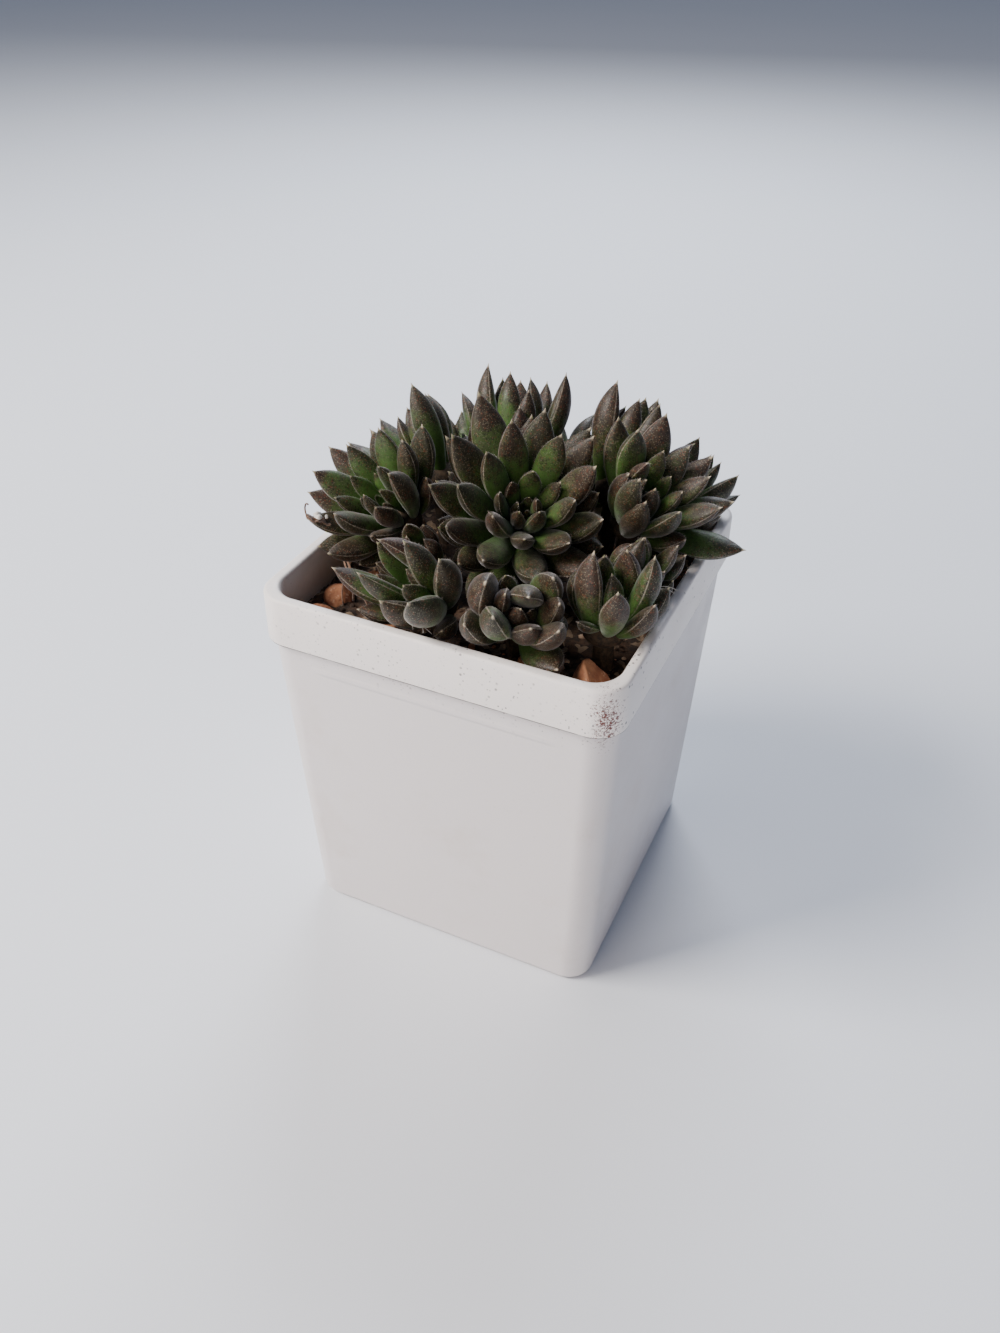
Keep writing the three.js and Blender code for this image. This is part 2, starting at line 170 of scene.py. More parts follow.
def settle_place(piece: Piece) -> None:
    """Move an object's place, turn and scale into its mesh."""
    make_active(piece)
    bpy.ops.object.transform_apply(location=True, rotation=True, scale=True)


def apply_modifiers(piece: Piece) -> None:
    """Apply every modifier of an object in order.

    Args:
        piece: The object.
    """
    make_active(piece)
    for modifier in list(piece.modifiers):
        bpy.ops.object.modifier_apply(modifier=modifier.name)


@contextmanager
def all_in_edit_mode(piece: Piece) -> Iterator[None]:
    """Open an object in edit mode with everything selected, and close it again.

    Args:
        piece: The object.

    Yields:
        Nothing.
    """
    make_active(piece)
    bpy.ops.object.mode_set(mode="EDIT")
    bpy.ops.mesh.select_all(action="SELECT")
    yield
    bpy.ops.object.mode_set(mode="OBJECT")


def draw_out(step: float, scale: float, height: float) -> None:
    """Extrude the selected end upward and scale it about the axis.

    Args:
        step: How far up it goes.
        scale: Its new size as a share of the old one.
        height: The height where it ends up.
    """
    bpy.ops.mesh.extrude_region_move(TRANSFORM_OT_translate={"value": (0, 0, step)})
    bpy.ops.transform.resize(value=(scale, scale, 1), center_override=(0, 0, height))


def clean_shell(piece: Piece) -> None:
    """Merge doubles and turn all faces outward.

    Args:
        piece: The object.
    """
    with all_in_edit_mode(piece):
        bpy.ops.mesh.remove_doubles(threshold=1e-6)
        bpy.ops.mesh.normals_make_consistent(inside=False)


def points_of(mesh: bpy.types.Mesh, kind: str = "co") -> np.ndarray:
    """Read three numbers of every point of a mesh.

    Args:
        mesh: The mesh.
        kind: co for places or normal for normals.

    Returns:
        A row of x, y and z for each point.
    """
    flat = np.empty(len(mesh.vertices) * 3)
    mesh.vertices.foreach_get(kind, flat)
    return flat.reshape(-1, 3)


def move_points(mesh: bpy.types.Mesh, places: np.ndarray) -> None:
    """Put a mesh's points at new places."""
    mesh.vertices.foreach_set("co", places.ravel())
    mesh.update()


def take_blank(piece: Piece) -> tuple[np.ndarray, Faces]:
    """Keep a modelled shape as a blank for copies, and remove its object.

    Args:
        piece: The modelled object.

    Returns:
        Its points and its faces.
    """
    places = points_of(piece.data)
    faces = [tuple(face.vertices) for face in piece.data.polygons]
    bpy.data.objects.remove(piece)
    return places, faces


def from_copies(name: str, copies: list[np.ndarray], faces: Faces) -> Piece:
    """Make one object of many copies of a blank.

    Args:
        name: The object's name.
        copies: Each copy's points, in millimetres.
        faces: The blank's faces.

    Returns:
        The new object.
    """
    size = len(copies[0])
    mesh = bpy.data.meshes.new(name)
    mesh.from_pydata(np.concatenate(copies) * MM, [],
                     [tuple(v + i * size for v in f) for i in range(len(copies)) for f in faces])
    piece = bpy.data.objects.new(name, mesh)
    bpy.context.collection.objects.link(piece)
    return piece


def add_attribute(mesh: bpy.types.Mesh, name: str, rows: list[np.ndarray]) -> None:
    """Write three numbers per point under a name that materials read."""
    layer = mesh.attributes.new(name, "FLOAT_VECTOR", "POINT")
    layer.data.foreach_set("vector", np.concatenate(rows).ravel())


def hand_over(piece: Piece, slot: Slot, *nodes: str) -> None:
    """Seat a finished piece on the body and hide the CAD nodes that it replaces.

    Args:
        piece: The finished piece.
        slot: Its material slot; not used.
        *nodes: The CAD nodes that it replaces.
    """
    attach(piece, "root")
    if nodes:
        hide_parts(*nodes)
    LOG.info("%s: %d faces", piece.name, len(piece.data.polygons))


# Finishes


class Recipe:
    """Short calls for adding and joining the nodes of one material."""

    def __init__(self, name: str) -> None:
        """Start a material with an output and nothing else.

        Args:
            name: The material's name.
        """
        self.material = bpy.data.materials.new(name)
        self.material.use_nodes = True
        self.tree = self.material.node_tree
        self.tree.nodes.clear()
        self.output = self.tree.nodes.new("ShaderNodeOutputMaterial")

    def add(self, kind: str, inputs: dict | None = None, **settings: object) -> bpy.types.Node:
        """Add a node.

        Args:
            kind: The node's type without the word ShaderNode.
            inputs: Values or sockets by input name or number.
            **settings: The node's own properties.

        Returns:
            The new node.
        """
        node = self.tree.nodes.new("ShaderNode" + kind)
        for key, value in settings.items():
            setattr(node, key, value)
        for key, value in (inputs or {}).items():
            if isinstance(value, Socket):
                self.tree.links.new(value, node.inputs[key])
            else:
                node.inputs[key].default_value = value
        return node

    def place(self) -> Socket:
        """Give the object coordinates, in metres."""
        return self.add("TexCoord").outputs["Object"]

    def noise(self, scale: float, detail: float = 3, rough: float = 0.55) -> Socket:
        """Give a noise from 0 to 1 whose grain is one over scale metres."""
        inputs = {"Vector": self.place(), "Scale": scale, "Detail": detail, "Roughness": rough}
        return self.add("TexNoise", inputs).outputs["Fac"]

    def ramp(self, value: Socket, low: float, high: float, start: float = 0,
             end: float = 1) -> Socket:
        """Map a value smoothly from low..high to start..end, clamped."""
        inputs = dict(zip(("Value", "From Min", "From Max", "To Min", "To Max"),
                          (value, low, high, start, end)))
        return self.add("MapRange", inputs, interpolation_type="SMOOTHSTEP").outputs["Result"]

    def math(self, operation: str, first: object, second: object = 0.0) -> Socket:
        """Join two values by a Math node's operation."""
        return self.add("Math", {0: first, 1: second}, operation=operation).outputs[0]

    def vector(self, operation: str, first: object, second: Point = (0, 0, 0)) -> bpy.types.Node:
        """Join two vectors by a Vector Math node's operation."""
        return self.add("VectorMath", {0: first, 1: second}, operation=operation)

    def mix(self, share: object, first: object, second: object) -> Socket:
        """Mix two colours, where share is how much there is of the second."""
        return self.add("Mix", {0: share, 6: first, 7: second}, data_type="RGBA").outputs[2]

    def part(self, vector: Socket, axis: str) -> Socket:
        """Give one of a vector's three numbers."""
        return self.add("SeparateXYZ", {"Vector": vector}).outputs[axis]

    def band(self, value: Socket, middle: float, half: float, soft: float) -> Socket:
        """Give 1 where a value is within half of the middle, falling softly to 0."""
        off = self.math("ABSOLUTE", self.math("SUBTRACT", value, middle))
        return self.ramp(off, half, half + soft, 1, 0)

    def both(self, *shares: Socket) -> Socket:
        """Multiply shares together."""
        return reduce(lambda first, second: self.math("MULTIPLY", first, second), shares)

    def cells(self, scale: float) -> tuple[Socket, Socket]:
        """Give the distance from the middle and a steady random value of small cells."""
        node = self.add("TexVoronoi", {"Vector": self.place(), "Scale": scale})
        return node.outputs["Distance"], self.add(
            "SeparateColor", {"Color": node.outputs["Color"]}).outputs["Red"]

    def attribute(self, name: str) -> tuple[Socket, ...]:
        """Read the three numbers of one of the piece's own attributes."""
        node = self.add("Attribute", attribute_name=name, attribute_type="GEOMETRY")
        return tuple(self.part(node.outputs["Vector"], axis) for axis in "XYZ")

    def bump(self, height: Socket, strength: float, depth: float) -> Socket:
        """Give the normal of a relief, depth millimetres deep."""
        inputs = {"Height": height, "Strength": strength, "Distance": depth * MM}
        return self.add("Bump", inputs).outputs["Normal"]

    def finish(self, colour: Socket, roughness: object, relief: Socket | None = None,
               **more: object) -> Material:
        """Close the material with a Principled surface.

        Args:
            colour: The surface's colour.
            roughness: The surface's roughness.
            relief: The surface's normal.
            **more: Other inputs, with low lines for the spaces in their names.

        Returns:
            The finished material.
        """
        inputs = {"Base Color": colour, "Roughness": roughness}
        inputs |= {name.replace("_", " "): value for name, value in more.items()}
        if relief:
            inputs["Normal"] = relief
        surface = self.add("BsdfPrincipled", inputs)
        self.tree.links.new(surface.outputs[0], self.output.inputs["Surface"])
        return self.material


@dataclass(frozen=True)
class PlasticFinish:
    """Warm white moulded plastic with faint stains and specks of dried soil, and painted light: a
    lighter band and lip, a painted shade line under the band, and painted shade with reflected
    soil colour low on the inner walls.
    """

    name: str = "white_plastic"
    inner: bool = False
    body: Colour = srgb(224, 217, 215)
    # Painted light: the band and lip are the same plastic as the body, painted lighter as if lit.
    rim: Colour = srgb(246, 238, 232)
    stain: Colour = srgb(200, 182, 164)
    dust: Colour = srgb(56, 38, 30)
    rust: Colour = srgb(104, 44, 30)
    # Painted shade: the thin dark line where the band overhangs the body.
    painted_crease_shade: Colour = srgb(58, 46, 40)
    # Painted shade and reflected soil colour for the inner walls.
    inner_shade_tint: Colour = srgb(182, 158, 132)
    band_foot: float = 73.3 * MM
    ridge_drop: float = 4.6 * MM
    ridge_reach: float = 23 * MM
    rust_spot: Point = (34.3 * MM, -35.2 * MM, 77.2 * MM)
    rust_reach: float = 9 * MM

    def build(self) -> Material:
        """Mix the plastic.

        Returns:
            The material.
        """
        r = Recipe(self.name)
        side, front, height = (r.part(r.place(), axis) for axis in "XYZ")
        # Painted light: lighter colour above the band's foot, over the band and lip.
        lit_band_share = r.ramp(height, self.band_foot - 0.4 * MM, self.band_foot)
        colour = r.mix(lit_band_share, self.body, self.rim)
        colour = r.mix(r.ramp(r.noise(45, 5, 0.65), 0.52, 0.80, 0, 0.30), colour, self.stain)
        if self.inner:
            # Painted shade and reflected soil colour: browner towards the soil, in noise patches.
            low = r.ramp(height, 83 * MM, 76 * MM, 0.06, 0.6)
            inner_shade_patches = r.ramp(r.noise(80, 4), 0.3, 0.7, 0.6, 1)
            colour = r.mix(r.both(low, inner_shade_patches), colour, self.inner_shade_tint)
        # Painted shade: an uneven dark line at the band's foot, where the band overhangs the body.
        crease_shade_mask = r.both(r.band(height, self.band_foot + 0.05 * MM, 0.24 * MM, 0.10 * MM),
                        r.ramp(r.noise(260, 3), 0.30, 0.52, 0.45, 1))
        colour = r.mix(crease_shade_mask, colour, self.painted_crease_shade)
        colour = r.mix(self.specks(r, side, front, height), colour, self.dust)
        colour = r.mix(self.rusted(r), colour, self.rust)
        ridge = r.both(r.band(height, self.band_foot - self.ridge_drop, 0.3 * MM, 0.7 * MM),
                       r.band(side, 0, self.ridge_reach, 4 * MM))
        relief = r.math("ADD", ridge, r.math("MULTIPLY", r.noise(160, 3), 0.2))
        return r.finish(
            colour, r.ramp(r.noise(90, 3), 0.3, 0.7, 0.34, 0.50), r.bump(relief, 0.5, 0.3),
            Subsurface_Weight=0.05, Subsurface_Radius=(0.004, 0.003, 0.0025))

    @staticmethod
    def specks(r: Recipe, side: Socket, front: Socket, height: Socket) -> Socket:
        """Scatter fine dust, thickest on the lip and band toward the front right.

        Args:
            r: The material's recipe.
            side: The X coordinate.
            front: The Y coordinate.
            height: The Z coordinate.

        Returns:
            The share of dust.
        """
        sizes = []
        for scale, keep, size in ((700.0, 0.34, 0.26), (1300.0, 0.42, 0.30)):
            distance, chance = r.cells(scale)
            sizes.append(r.both(r.ramp(distance, 0.4 * size, size, 1, 0),
                                r.ramp(chance, keep, keep + 0.02, 1, 0)))
        drift = r.ramp(r.noise(120, 4, 0.65), 0.42, 0.60, 0.12, 1)
        toward = r.ramp(r.math("SUBTRACT", side, front), -10 * MM, 62 * MM, 0.22, 1)
        high = r.ramp(height, 66 * MM, 76 * MM, 0.06, 0.9)
        return r.both(r.math("MAXIMUM", *sizes), drift, toward, high)

    def rusted(self, r: Recipe) -> Socket:
        """Gather reddish grains at the front right corner of the band.

        Args:
            r: The material's recipe.

        Returns:
            The share of rust.
        """
        offset = r.vector("SUBTRACT", r.place(), self.rust_spot).outputs["Vector"]
        narrow = r.vector("MULTIPLY", offset, (1.9, 1.9, 0.8)).outputs["Vector"]
        close = r.ramp(r.vector("LENGTH", narrow).outputs["Value"], 0, self.rust_reach, 1, 0)
        grains = r.math("ADD", r.noise(2100, 3, 0.8), r.math("MULTIPLY", close, 0.26))
        return r.both(r.ramp(grains, 0.66, 0.72), r.ramp(close, 0.0, 0.2))


@dataclass(frozen=True)
class SoilFinish:
    """Dark potting mix with lighter grit and bits of root."""

    name: str = "potting_mix"
    dark: Colour = srgb(44, 33, 26)
    brown: Colour = srgb(92, 68, 50)
    pale: Colour = srgb(150, 128, 104)

    def build(self) -> Material:
        """Mix the potting mix.

        Returns:
            The material.
        """
        r = Recipe(self.name)
        colour = r.mix(r.ramp(r.noise(420, 5, 0.7), 0.38, 0.66), self.dark, self.brown)
        chip = r.cells(620.0)[1]
        colour = r.mix(r.ramp(chip, 0.86, 0.9, 0, 0.7), colour, self.pale)
        return r.finish(colour, 0.93, r.bump(r.noise(1300, 6, 0.75), 0.9, 0.5))


@dataclass(frozen=True)
class StoneFinish:
    """Matt worn stone with mottling and pale dust."""

    name: str
    base: Colour
    dark: Colour
    pale: Colour

    def build(self) -> Material:
        """Mix the stone.

        Returns:
            The material.
        """
        r = Recipe(self.name)
        colour = r.mix(r.ramp(r.noise(260, 5, 0.65), 0.35, 0.68), self.dark, self.base)
        colour = r.mix(r.ramp(r.noise(900, 4, 0.7), 0.56, 0.72, 0, 0.7), colour, self.pale)
        return r.finish(colour, 0.85, r.bump(r.noise(900, 6, 0.7), 0.6, 0.25))


@dataclass(frozen=True)
class LeafFinish:
    """Velvety succulent skin: green at the root, brown-olive above, finely speckled all over."""

    name: str = "leaf_skin"
    green: Colour = srgb(54, 80, 34)
    young: Colour = srgb(82, 118, 52)
    olive: Colour = srgb(43, 45, 24)
    brown: Colour = srgb(56, 38, 27)
    shadow: Colour = srgb(20, 15, 11)
    rusty: Colour = srgb(98, 54, 36)
    papilla: Colour = srgb(146, 138, 116)
    margin: Colour = srgb(170, 158, 140)
    tip: Colour = srgb(196, 180, 156)
    bloom: Colour = srgb(236, 230, 230)

    def build(self) -> Material:
        """Mix the leaf skin.

        Returns:
            The material.
        """
        r = Recipe(self.name)
        across, along, face = r.attribute("blade")
        vigour, warmth, age = r.attribute("tint")
        skin = r.mix(warmth, self.olive, self.brown)
        mottle = r.ramp(r.noise(300, 4), 0.3, 0.7, -0.14, 0.14)
        reach = r.math("SUBTRACT", r.math("ADD", along, mottle), vigour)
        reach = r.math("SUBTRACT", reach, r.math("MULTIPLY", face, 0.07))
        flesh = r.mix(age, self.young, self.green)
        colour = r.mix(r.ramp(reach, -0.36, 0.24), flesh, skin)
        upper = r.ramp(reach, -0.32, 0.10, 0.25, 1)
        colour = self.speckled(r, colour, upper)
        worn = r.ramp(r.noise(210, 4, 0.6), 0.54, 0.74, 0, 0.07)
        colour = r.mix(r.both(worn, upper), colour, self.papilla)
        fray = r.ramp(r.noise(1500, 3), 0.35, 0.65, 0.35, 1)
        edge = r.both(r.ramp(r.math("ABSOLUTE", across), 0.982, 0.9995, 0, 0.75), fray,
                      r.ramp(along, 0.2, 0.62, 0.12, 1))
        colour = r.mix(edge, colour, self.margin)
        colour = r.mix(r.ramp(along, 0.965, 0.997, 0, 0.8), colour, self.tip)
        relief = r.math("ADD", r.cells(3600.0)[0], r.math("MULTIPLY", r.noise(420, 3), 2.0))
        return r.finish(
            colour, r.ramp(r.noise(600, 3), 0.3, 0.7, 0.44, 0.60), r.bump(relief, 0.30, 0.12),
            Specular_IOR_Level=0.40, Subsurface_Weight=0.10, Subsurface_Scale=1.0,
            Subsurface_Radius=(0.0014, 0.0020, 0.0006),
            Sheen_Weight=0.38, Sheen_Roughness=0.28, Sheen_Tint=self.bloom)

    def speckled(self, r: Recipe, colour: Socket, upper: Socket) -> Socket:
        """Lay dark, rusty and pale grains over the skin, fewer where it is green.

        Args:
            r: The material's recipe.
            colour: The skin's colour.
            upper: How far a place is past the green.

        Returns:
            The colour with its grains.
        """
        distance, chance = r.cells(2500.0)
        dot = r.ramp(distance, 0.30, 0.62, 1, 0)
        colour = r.mix(r.both(dot, r.ramp(chance, 0.40, 0.46, 0.8, 0), upper), colour, self.shadow)
        colour = r.mix(r.both(dot, r.ramp(chance, 0.78, 0.84, 0, 0.68), upper), colour, self.rusty)
        distance, chance = r.cells(4200.0)
        dot = r.ramp(distance, 0.22, 0.52, 1, 0)
        return r.mix(r.both(dot, r.ramp(chance, 0.56, 0.72, 0, 0.50), upper), colour, self.papilla)


@dataclass(frozen=True)
class FibreFinish:
    """Matt dry fibre, mottled between two tones."""

    name: str
    dark: Colour
    light: Colour

    def build(self) -> Material:
        """Mix the fibre.

        Returns:
            The material.
        """
        r = Recipe(self.name)
        colour = r.mix(r.ramp(r.noise(700, 4, 0.6), 0.35, 0.65), self.dark, self.light)
        return r.finish(colour, 0.8, r.bump(r.noise(2600, 3), 0.4, 0.05), Sheen_Weight=0.5)


@dataclass(frozen=True)
class StemFinish:
    """Dry brown stem with scars of shed leaves, in its own dark brown deepened as painted shade,
    since the same bark covers the crown in the heart of each rosette.
    """

    name: str = "stem_bark"
    # Own bark brown, darkened as painted shade for the crown deep in the rosette.
    dark: Colour = srgb(38, 30, 22)
    light: Colour = srgb(76, 60, 42)

    def build(self) -> Material:
        """Mix the bark.

        Returns:
            The material.
        """
        r = Recipe(self.name)
        colour = r.mix(r.ramp(r.noise(800, 5, 0.7), 0.35, 0.65), self.dark, self.light)
        return r.finish(colour, 0.85, r.bump(r.noise(1200, 5), 0.8, 0.3))


# Pot


@dataclass(frozen=True)
class Pot:
    """Square tapered pot with a rim band, a flat lip and four drain holes, in metres."""

    width: float = 75 * MM
    height: float = 84 * MM
    band_height: float = 10.7 * MM
    band_foot_width: float = 75.2 * MM
    body_top_width: float = 73.1 * MM
    base_width: float = 67.3 * MM
    base_corner_radius: float = 5.2 * MM
    corner_steps: int = 14
    lip_thickness: float = 2.4 * MM
    wall: float = 1.6 * MM
    floor: float = 2 * MM
    drain_radius: float = 3 * MM
    drain_spacing: float = 34 * MM
    drain_sides: int = 32
    foot_round: float = 1.6 * MM
    band_round: float = 0.3 * MM
    edge_round: float = 0.7 * MM
    sharpest_smooth: float = 38
    finish: PlasticFinish = PlasticFinish()
    # The inner walls' plastic carries painted shade and reflected soil colour.
    inner_finish: PlasticFinish = PlasticFinish(name="inner_plastic_painted_shade", inner=True)

    def body_width_at(self, z: float) -> float:
        """Outer width of the tapered body at a height."""
        rise = (self.body_top_width - self.base_width) / (self.height - self.band_height)
        return self.base_width + rise * z

    def cavity_width_at(self, z: float) -> float:
        """Inner width of the pot at a height.

        Args:
            z: The height.

        Returns:
            The width between the walls.
        """
        top = self.width - 2 * self.lip_thickness
        floor = self.body_width_at(self.floor) - 2 * self.wall
        return floor + (top - floor) * (z - self.floor) / (self.height - self.floor)

    def rings(self) -> list[tuple[float, float]]:
        """Follow the pot's section up the outside, over the lip and down the inside.

        Returns:
            The width and height of each ring.
        """
        foot, edge, band_foot = self.foot_round, self.edge_round, self.height - self.band_height
        rings = self.rounding(self.body_width_at(foot), foot, foot, (-67.5, -45, -22.5, 0))
        for share in (0.25, 0.5, 0.75, 1):
            z = foot + (band_foot - foot) * share
            rings.append((self.body_width_at(z), z))
        rings += self.rounding(self.band_foot_width, band_foot + self.band_round,
                               self.band_round, (-90, -60, -30, 0))
        rings += self.rounding(self.width, self.height - edge, edge, (0, 22.5, 45, 67.5, 90))
        inner = self.cavity_width_at(self.height) + 2 * edge
        rings += [(2 * inner - w - 2 * edge, z) for w, z in
                  self.rounding(inner, self.height - edge, edge, (90, 60, 30, 0))]
        return rings + [(self.cavity_width_at(z), z) for z in (band_foot, self.floor)]

    @staticmethod
    def rounding(width: float, z: float, radius: float,
                 angles: tuple[float, ...]) -> list[tuple[float, float]]:
        """Lay rings on a rounded edge.

        Args:
            width: Width at the edge's outermost point.
            z: Height of the rounding's centre.
            radius: Radius of the rounding.
            angles: Degrees above the outermost point, one for each ring.

        Returns:
            The rings' widths and heights.
        """
        turns = [math.radians(angle) for angle in angles]
        return [(width - 2 * radius * (1 - math.cos(turn)), z + radius * math.sin(turn))
                for turn in turns]

    def build(self) -> None:
        """Model the pot from a round-cornered plate drawn up ring by ring."""
        deselect()
        width, height = self.base_width - 2 * self.foot_round, 0.0
        bpy.ops.mesh.primitive_plane_add(size=width)
        pot = bpy.context.object
        pot.name = "pot_shell"
        with all_in_edit_mode(pot):
            bpy.ops.mesh.bevel(offset=self.base_corner_radius, offset_type="OFFSET",
                               segments=self.corner_steps, affect="VERTICES")
            bpy.ops.mesh.select_all(action="SELECT")
            for next_width, z in self.rings():
                draw_out(z - height, next_width / width, z)
                width, height = next_width, z
        clean_shell(pot)
        self.cut_drains(pot)
        make_active(pot)
        bpy.ops.object.shade_smooth_by_angle(angle=math.radians(self.sharpest_smooth))
        pot.data.materials.append(self.finish.build())
        pot.data.materials.append(self.inner_finish.build())
        for face in pot.data.polygons:
            inward = face.normal.xy.dot(face.center.xy) < 0 and face.center.z > self.floor
            face.material_index = 1 if inward else 0
        hand_over(pot, Slot.POT, "pot")

    def cut_drains(self, pot: Piece) -> None:
        """Cut the drain holes through the floor.

        Args:
            pot: The pot's shell.
        """
        half = self.drain_spacing / 2
        for x, y in product((-half, half), repeat=2):
            deselect()
            bpy.ops.mesh.primitive_cylinder_add(
                vertices=self.drain_sides, radius=self.drain_radius, depth=3 * self.floor,
                location=(x, y, self.floor / 2))
            cutter = bpy.context.object
            cut = pot.modifiers.new("drain", "BOOLEAN")
            cut.operation = "DIFFERENCE"
            cut.object = cutter
            cut.solver = "EXACT"
            apply_modifiers(pot)
            bpy.data.objects.remove(cutter)


# Rosettes


@dataclass(frozen=True)
class RosettePlan:
    """What the solids say of one rosette, in millimetres and degrees."""

    node: str
    crown: Point
    lean: float
    toward: float
    leaves: int
    length: float
    width: float
    spread: float
    depth: float
    room: float
    phase: float

    def axes(self) -> tuple[np.ndarray, np.ndarray, np.ndarray]:
        """Find the rosette's own directions.

        Returns:
            Its upward axis and the two directions across it.
        """
        lean, toward = math.radians(self.lean), math.radians(self.toward)
        up = np.array([math.sin(lean) * math.cos(toward),
                       math.sin(lean) * math.sin(toward), math.cos(lean)])
        across = np.array([1.0, 0.0, 0.0]) - up * up[0]
        across /= np.linalg.norm(across)
        return up, across, np.cross(up, across)

    def stem_foot(self) -> np.ndarray:
        """Find where the stem enters the soil."""
        up = self.axes()[0]
        return np.array(self.crown) - STEM_LEAN * (self.crown[2] - SOIL_TOP) / up[2] * up


ROSETTES = [
    RosettePlan("rosette_centre", (2.5, 0, 91), 40, -59, 52, 24, 0.3, 94.5, 9.5, 23.5, 165),
    RosettePlan("rosette_front", (12.5, -23.5, 84.5), 41, -58, 27, 21, 0.39, 97, 5, 10, 67),
    RosettePlan("rosette_left", (-22.5, -7.5, 90.5), 40, -97, 36, 18, 0.32, 104, 7, 13, 43),
    RosettePlan("rosette_right", (23, 9, 93), 33, -48, 36, 20, 0.3, 95.5, 7, 13, 114),
    RosettePlan("rosette_front_right", (27.5, -18.5, 85), 8, -89, 14, 19, 0.33, 97.5, 3, 8.5, 106),
    RosettePlan("rosette_front_left", (-6.5, -23.5, 84.5), 34, 222, 20, 20.5, 0.33, 100.5,
                5.5, 12, 282),
    RosettePlan("rosette_back_left", (-24, 12, 93), 30, 165, 24, 19, 0.33, 92, 8, 9, 0),
    RosettePlan("rosette_back", (-8, 20, 95), 24, 115, 26, 21, 0.31, 92, 8, 10, 0),
    RosettePlan("rosette_back_right", (14, 25, 93), 24, 70, 25, 21, 0.31, 92, 8, 10, 0),
    RosettePlan("rosette_rear_left", (-22.5, 25.5, 88.5), 38, 135, 20, 18, 0.33, 92, 8, 8, 0),
    RosettePlan("rosette_rear", (3, 29.5, 87), 42, 90, 20, 18, 0.33, 92, 8, 8, 0),
    RosettePlan("rosette_rear_right", (24.5, 27, 88), 34, 50, 21, 18, 0.33, 92, 8, 8, 0),
    RosettePlan("offset_left", (-12.6, -13.6, 83.5), 20, 250, 11, 14.5, 0.38, 90, 4, 6, 60),
    RosettePlan("offset_right", (26, -4, 86), 20, -25, 12, 15, 0.36, 95, 5, 7, 60),
]


@dataclass(frozen=True)
class LeafShape:
    """Outline and section shared by all leaves, as shares of a leaf's size."""

    widest_at: float = 0.6
    root_width: float = 0.36
    sides: int = 16
    top_crown: float = 0.34
    keel_depth: float = 0.62
    stations: tuple[float, ...] = (
        0.0, 0.08, 0.16, 0.24, 0.32, 0.4, 0.48, 0.56, 0.64, 0.71, 0.77, 0.82, 0.865,
        0.9, 0.93, 0.955, 0.975)
    point: tuple[tuple[float, float], ...] = ((0.99, 0.5), (1.02, 0.22))

    def outline(self, t: np.ndarray) -> np.ndarray:
        """Follow the leaf's outline.

        Args:
            t: Stations from 0 at the root to 1 at the tip.

        Returns:
            The share of the widest width at each station.
        """
        rise = np.sin(np.pi / 2 * np.clip(t / self.widest_at, 0, 1))
        fall = 1 - (np.clip(t - self.widest_at, 0, 1) / (1 - self.widest_at)) ** 2
        return np.where(t <= self.widest_at, self.root_width + (1 - self.root_width) * rise, fall)

    def build_blank(self) -> tuple[np.ndarray, Faces]:
        """Model one straight leaf of unit size, flatter above than below.

        Returns:
            Its points, as shares of half the width, of the thickness and of the length, and
            its faces.
        """
        deselect()
        bpy.ops.mesh.primitive_circle_add(vertices=self.sides, radius=1, fill_type="NGON")
        blank = bpy.context.object
        shares = self.outline(np.array(self.stations))
        scales = [*zip(self.stations[1:], shares[1:] / shares[:-1]), *self.point]
        with all_in_edit_mode(blank):
            bpy.ops.transform.resize(value=(shares[0], shares[0], 1))
            last = self.stations[0]
            for t, scale in scales:
                draw_out(t - last, scale, t)
                last = t
        clean_shell(blank)
        places, faces = take_blank(blank)
        rise = places[:, 1]
        places[:, 1] = np.where(rise > 0, rise * self.top_crown, rise * self.keel_depth)
        return places, faces


@dataclass(frozen=True)
class Growth:
    """How leaves differ from the heart to the edge of a rosette."""

    smallest: float = 0.24
    grown_at: float = 0.5
    heart_tilt: float = 8
    opening: float = 0.55
    heart_curl: float = 12
    more_curl: float = 20
    heart_width: float = 0.92
    more_width: float = 0.12
    thickness: float = 0.70
    more_thickness: float = 0.06
    root_ring: float = 0.5
    root_spread: float = 2.6


@dataclass(frozen=True)
class Settling:
    """How leaves find their places, as in the solids: millimetres, radians and shares."""

    stations: tuple[float, ...] = (0.3, 0.55, 0.78, 1.0)
    steps: int = 60
    spreading_steps: int = 42
    first_shrinking_step: int = 13
    ground: float = 78.5
    rim_top: float = 84.0
    rim_gap: float = 0.4
    rim_inside: float = 34.5
    head_gap: float = 0.5
    fan_height: float = 7.0
    feeler_share: float = 0.51
    least_feeler: float = 0.35
    feeler_drop: float = 0.12
    eagerness: float = 1.6
    most_turn: float = 0.1
    least_lever: float = 0.35
    least_overlap: float = 0.1
    tilts: tuple[float, float] = (0.03, 1.9)
    shrinking: float = 0.02
    thinning: float = 0.6
    deep: float = 0.3
    smallest_share: float = 0.6
    smallest_leaf: float = 4.5


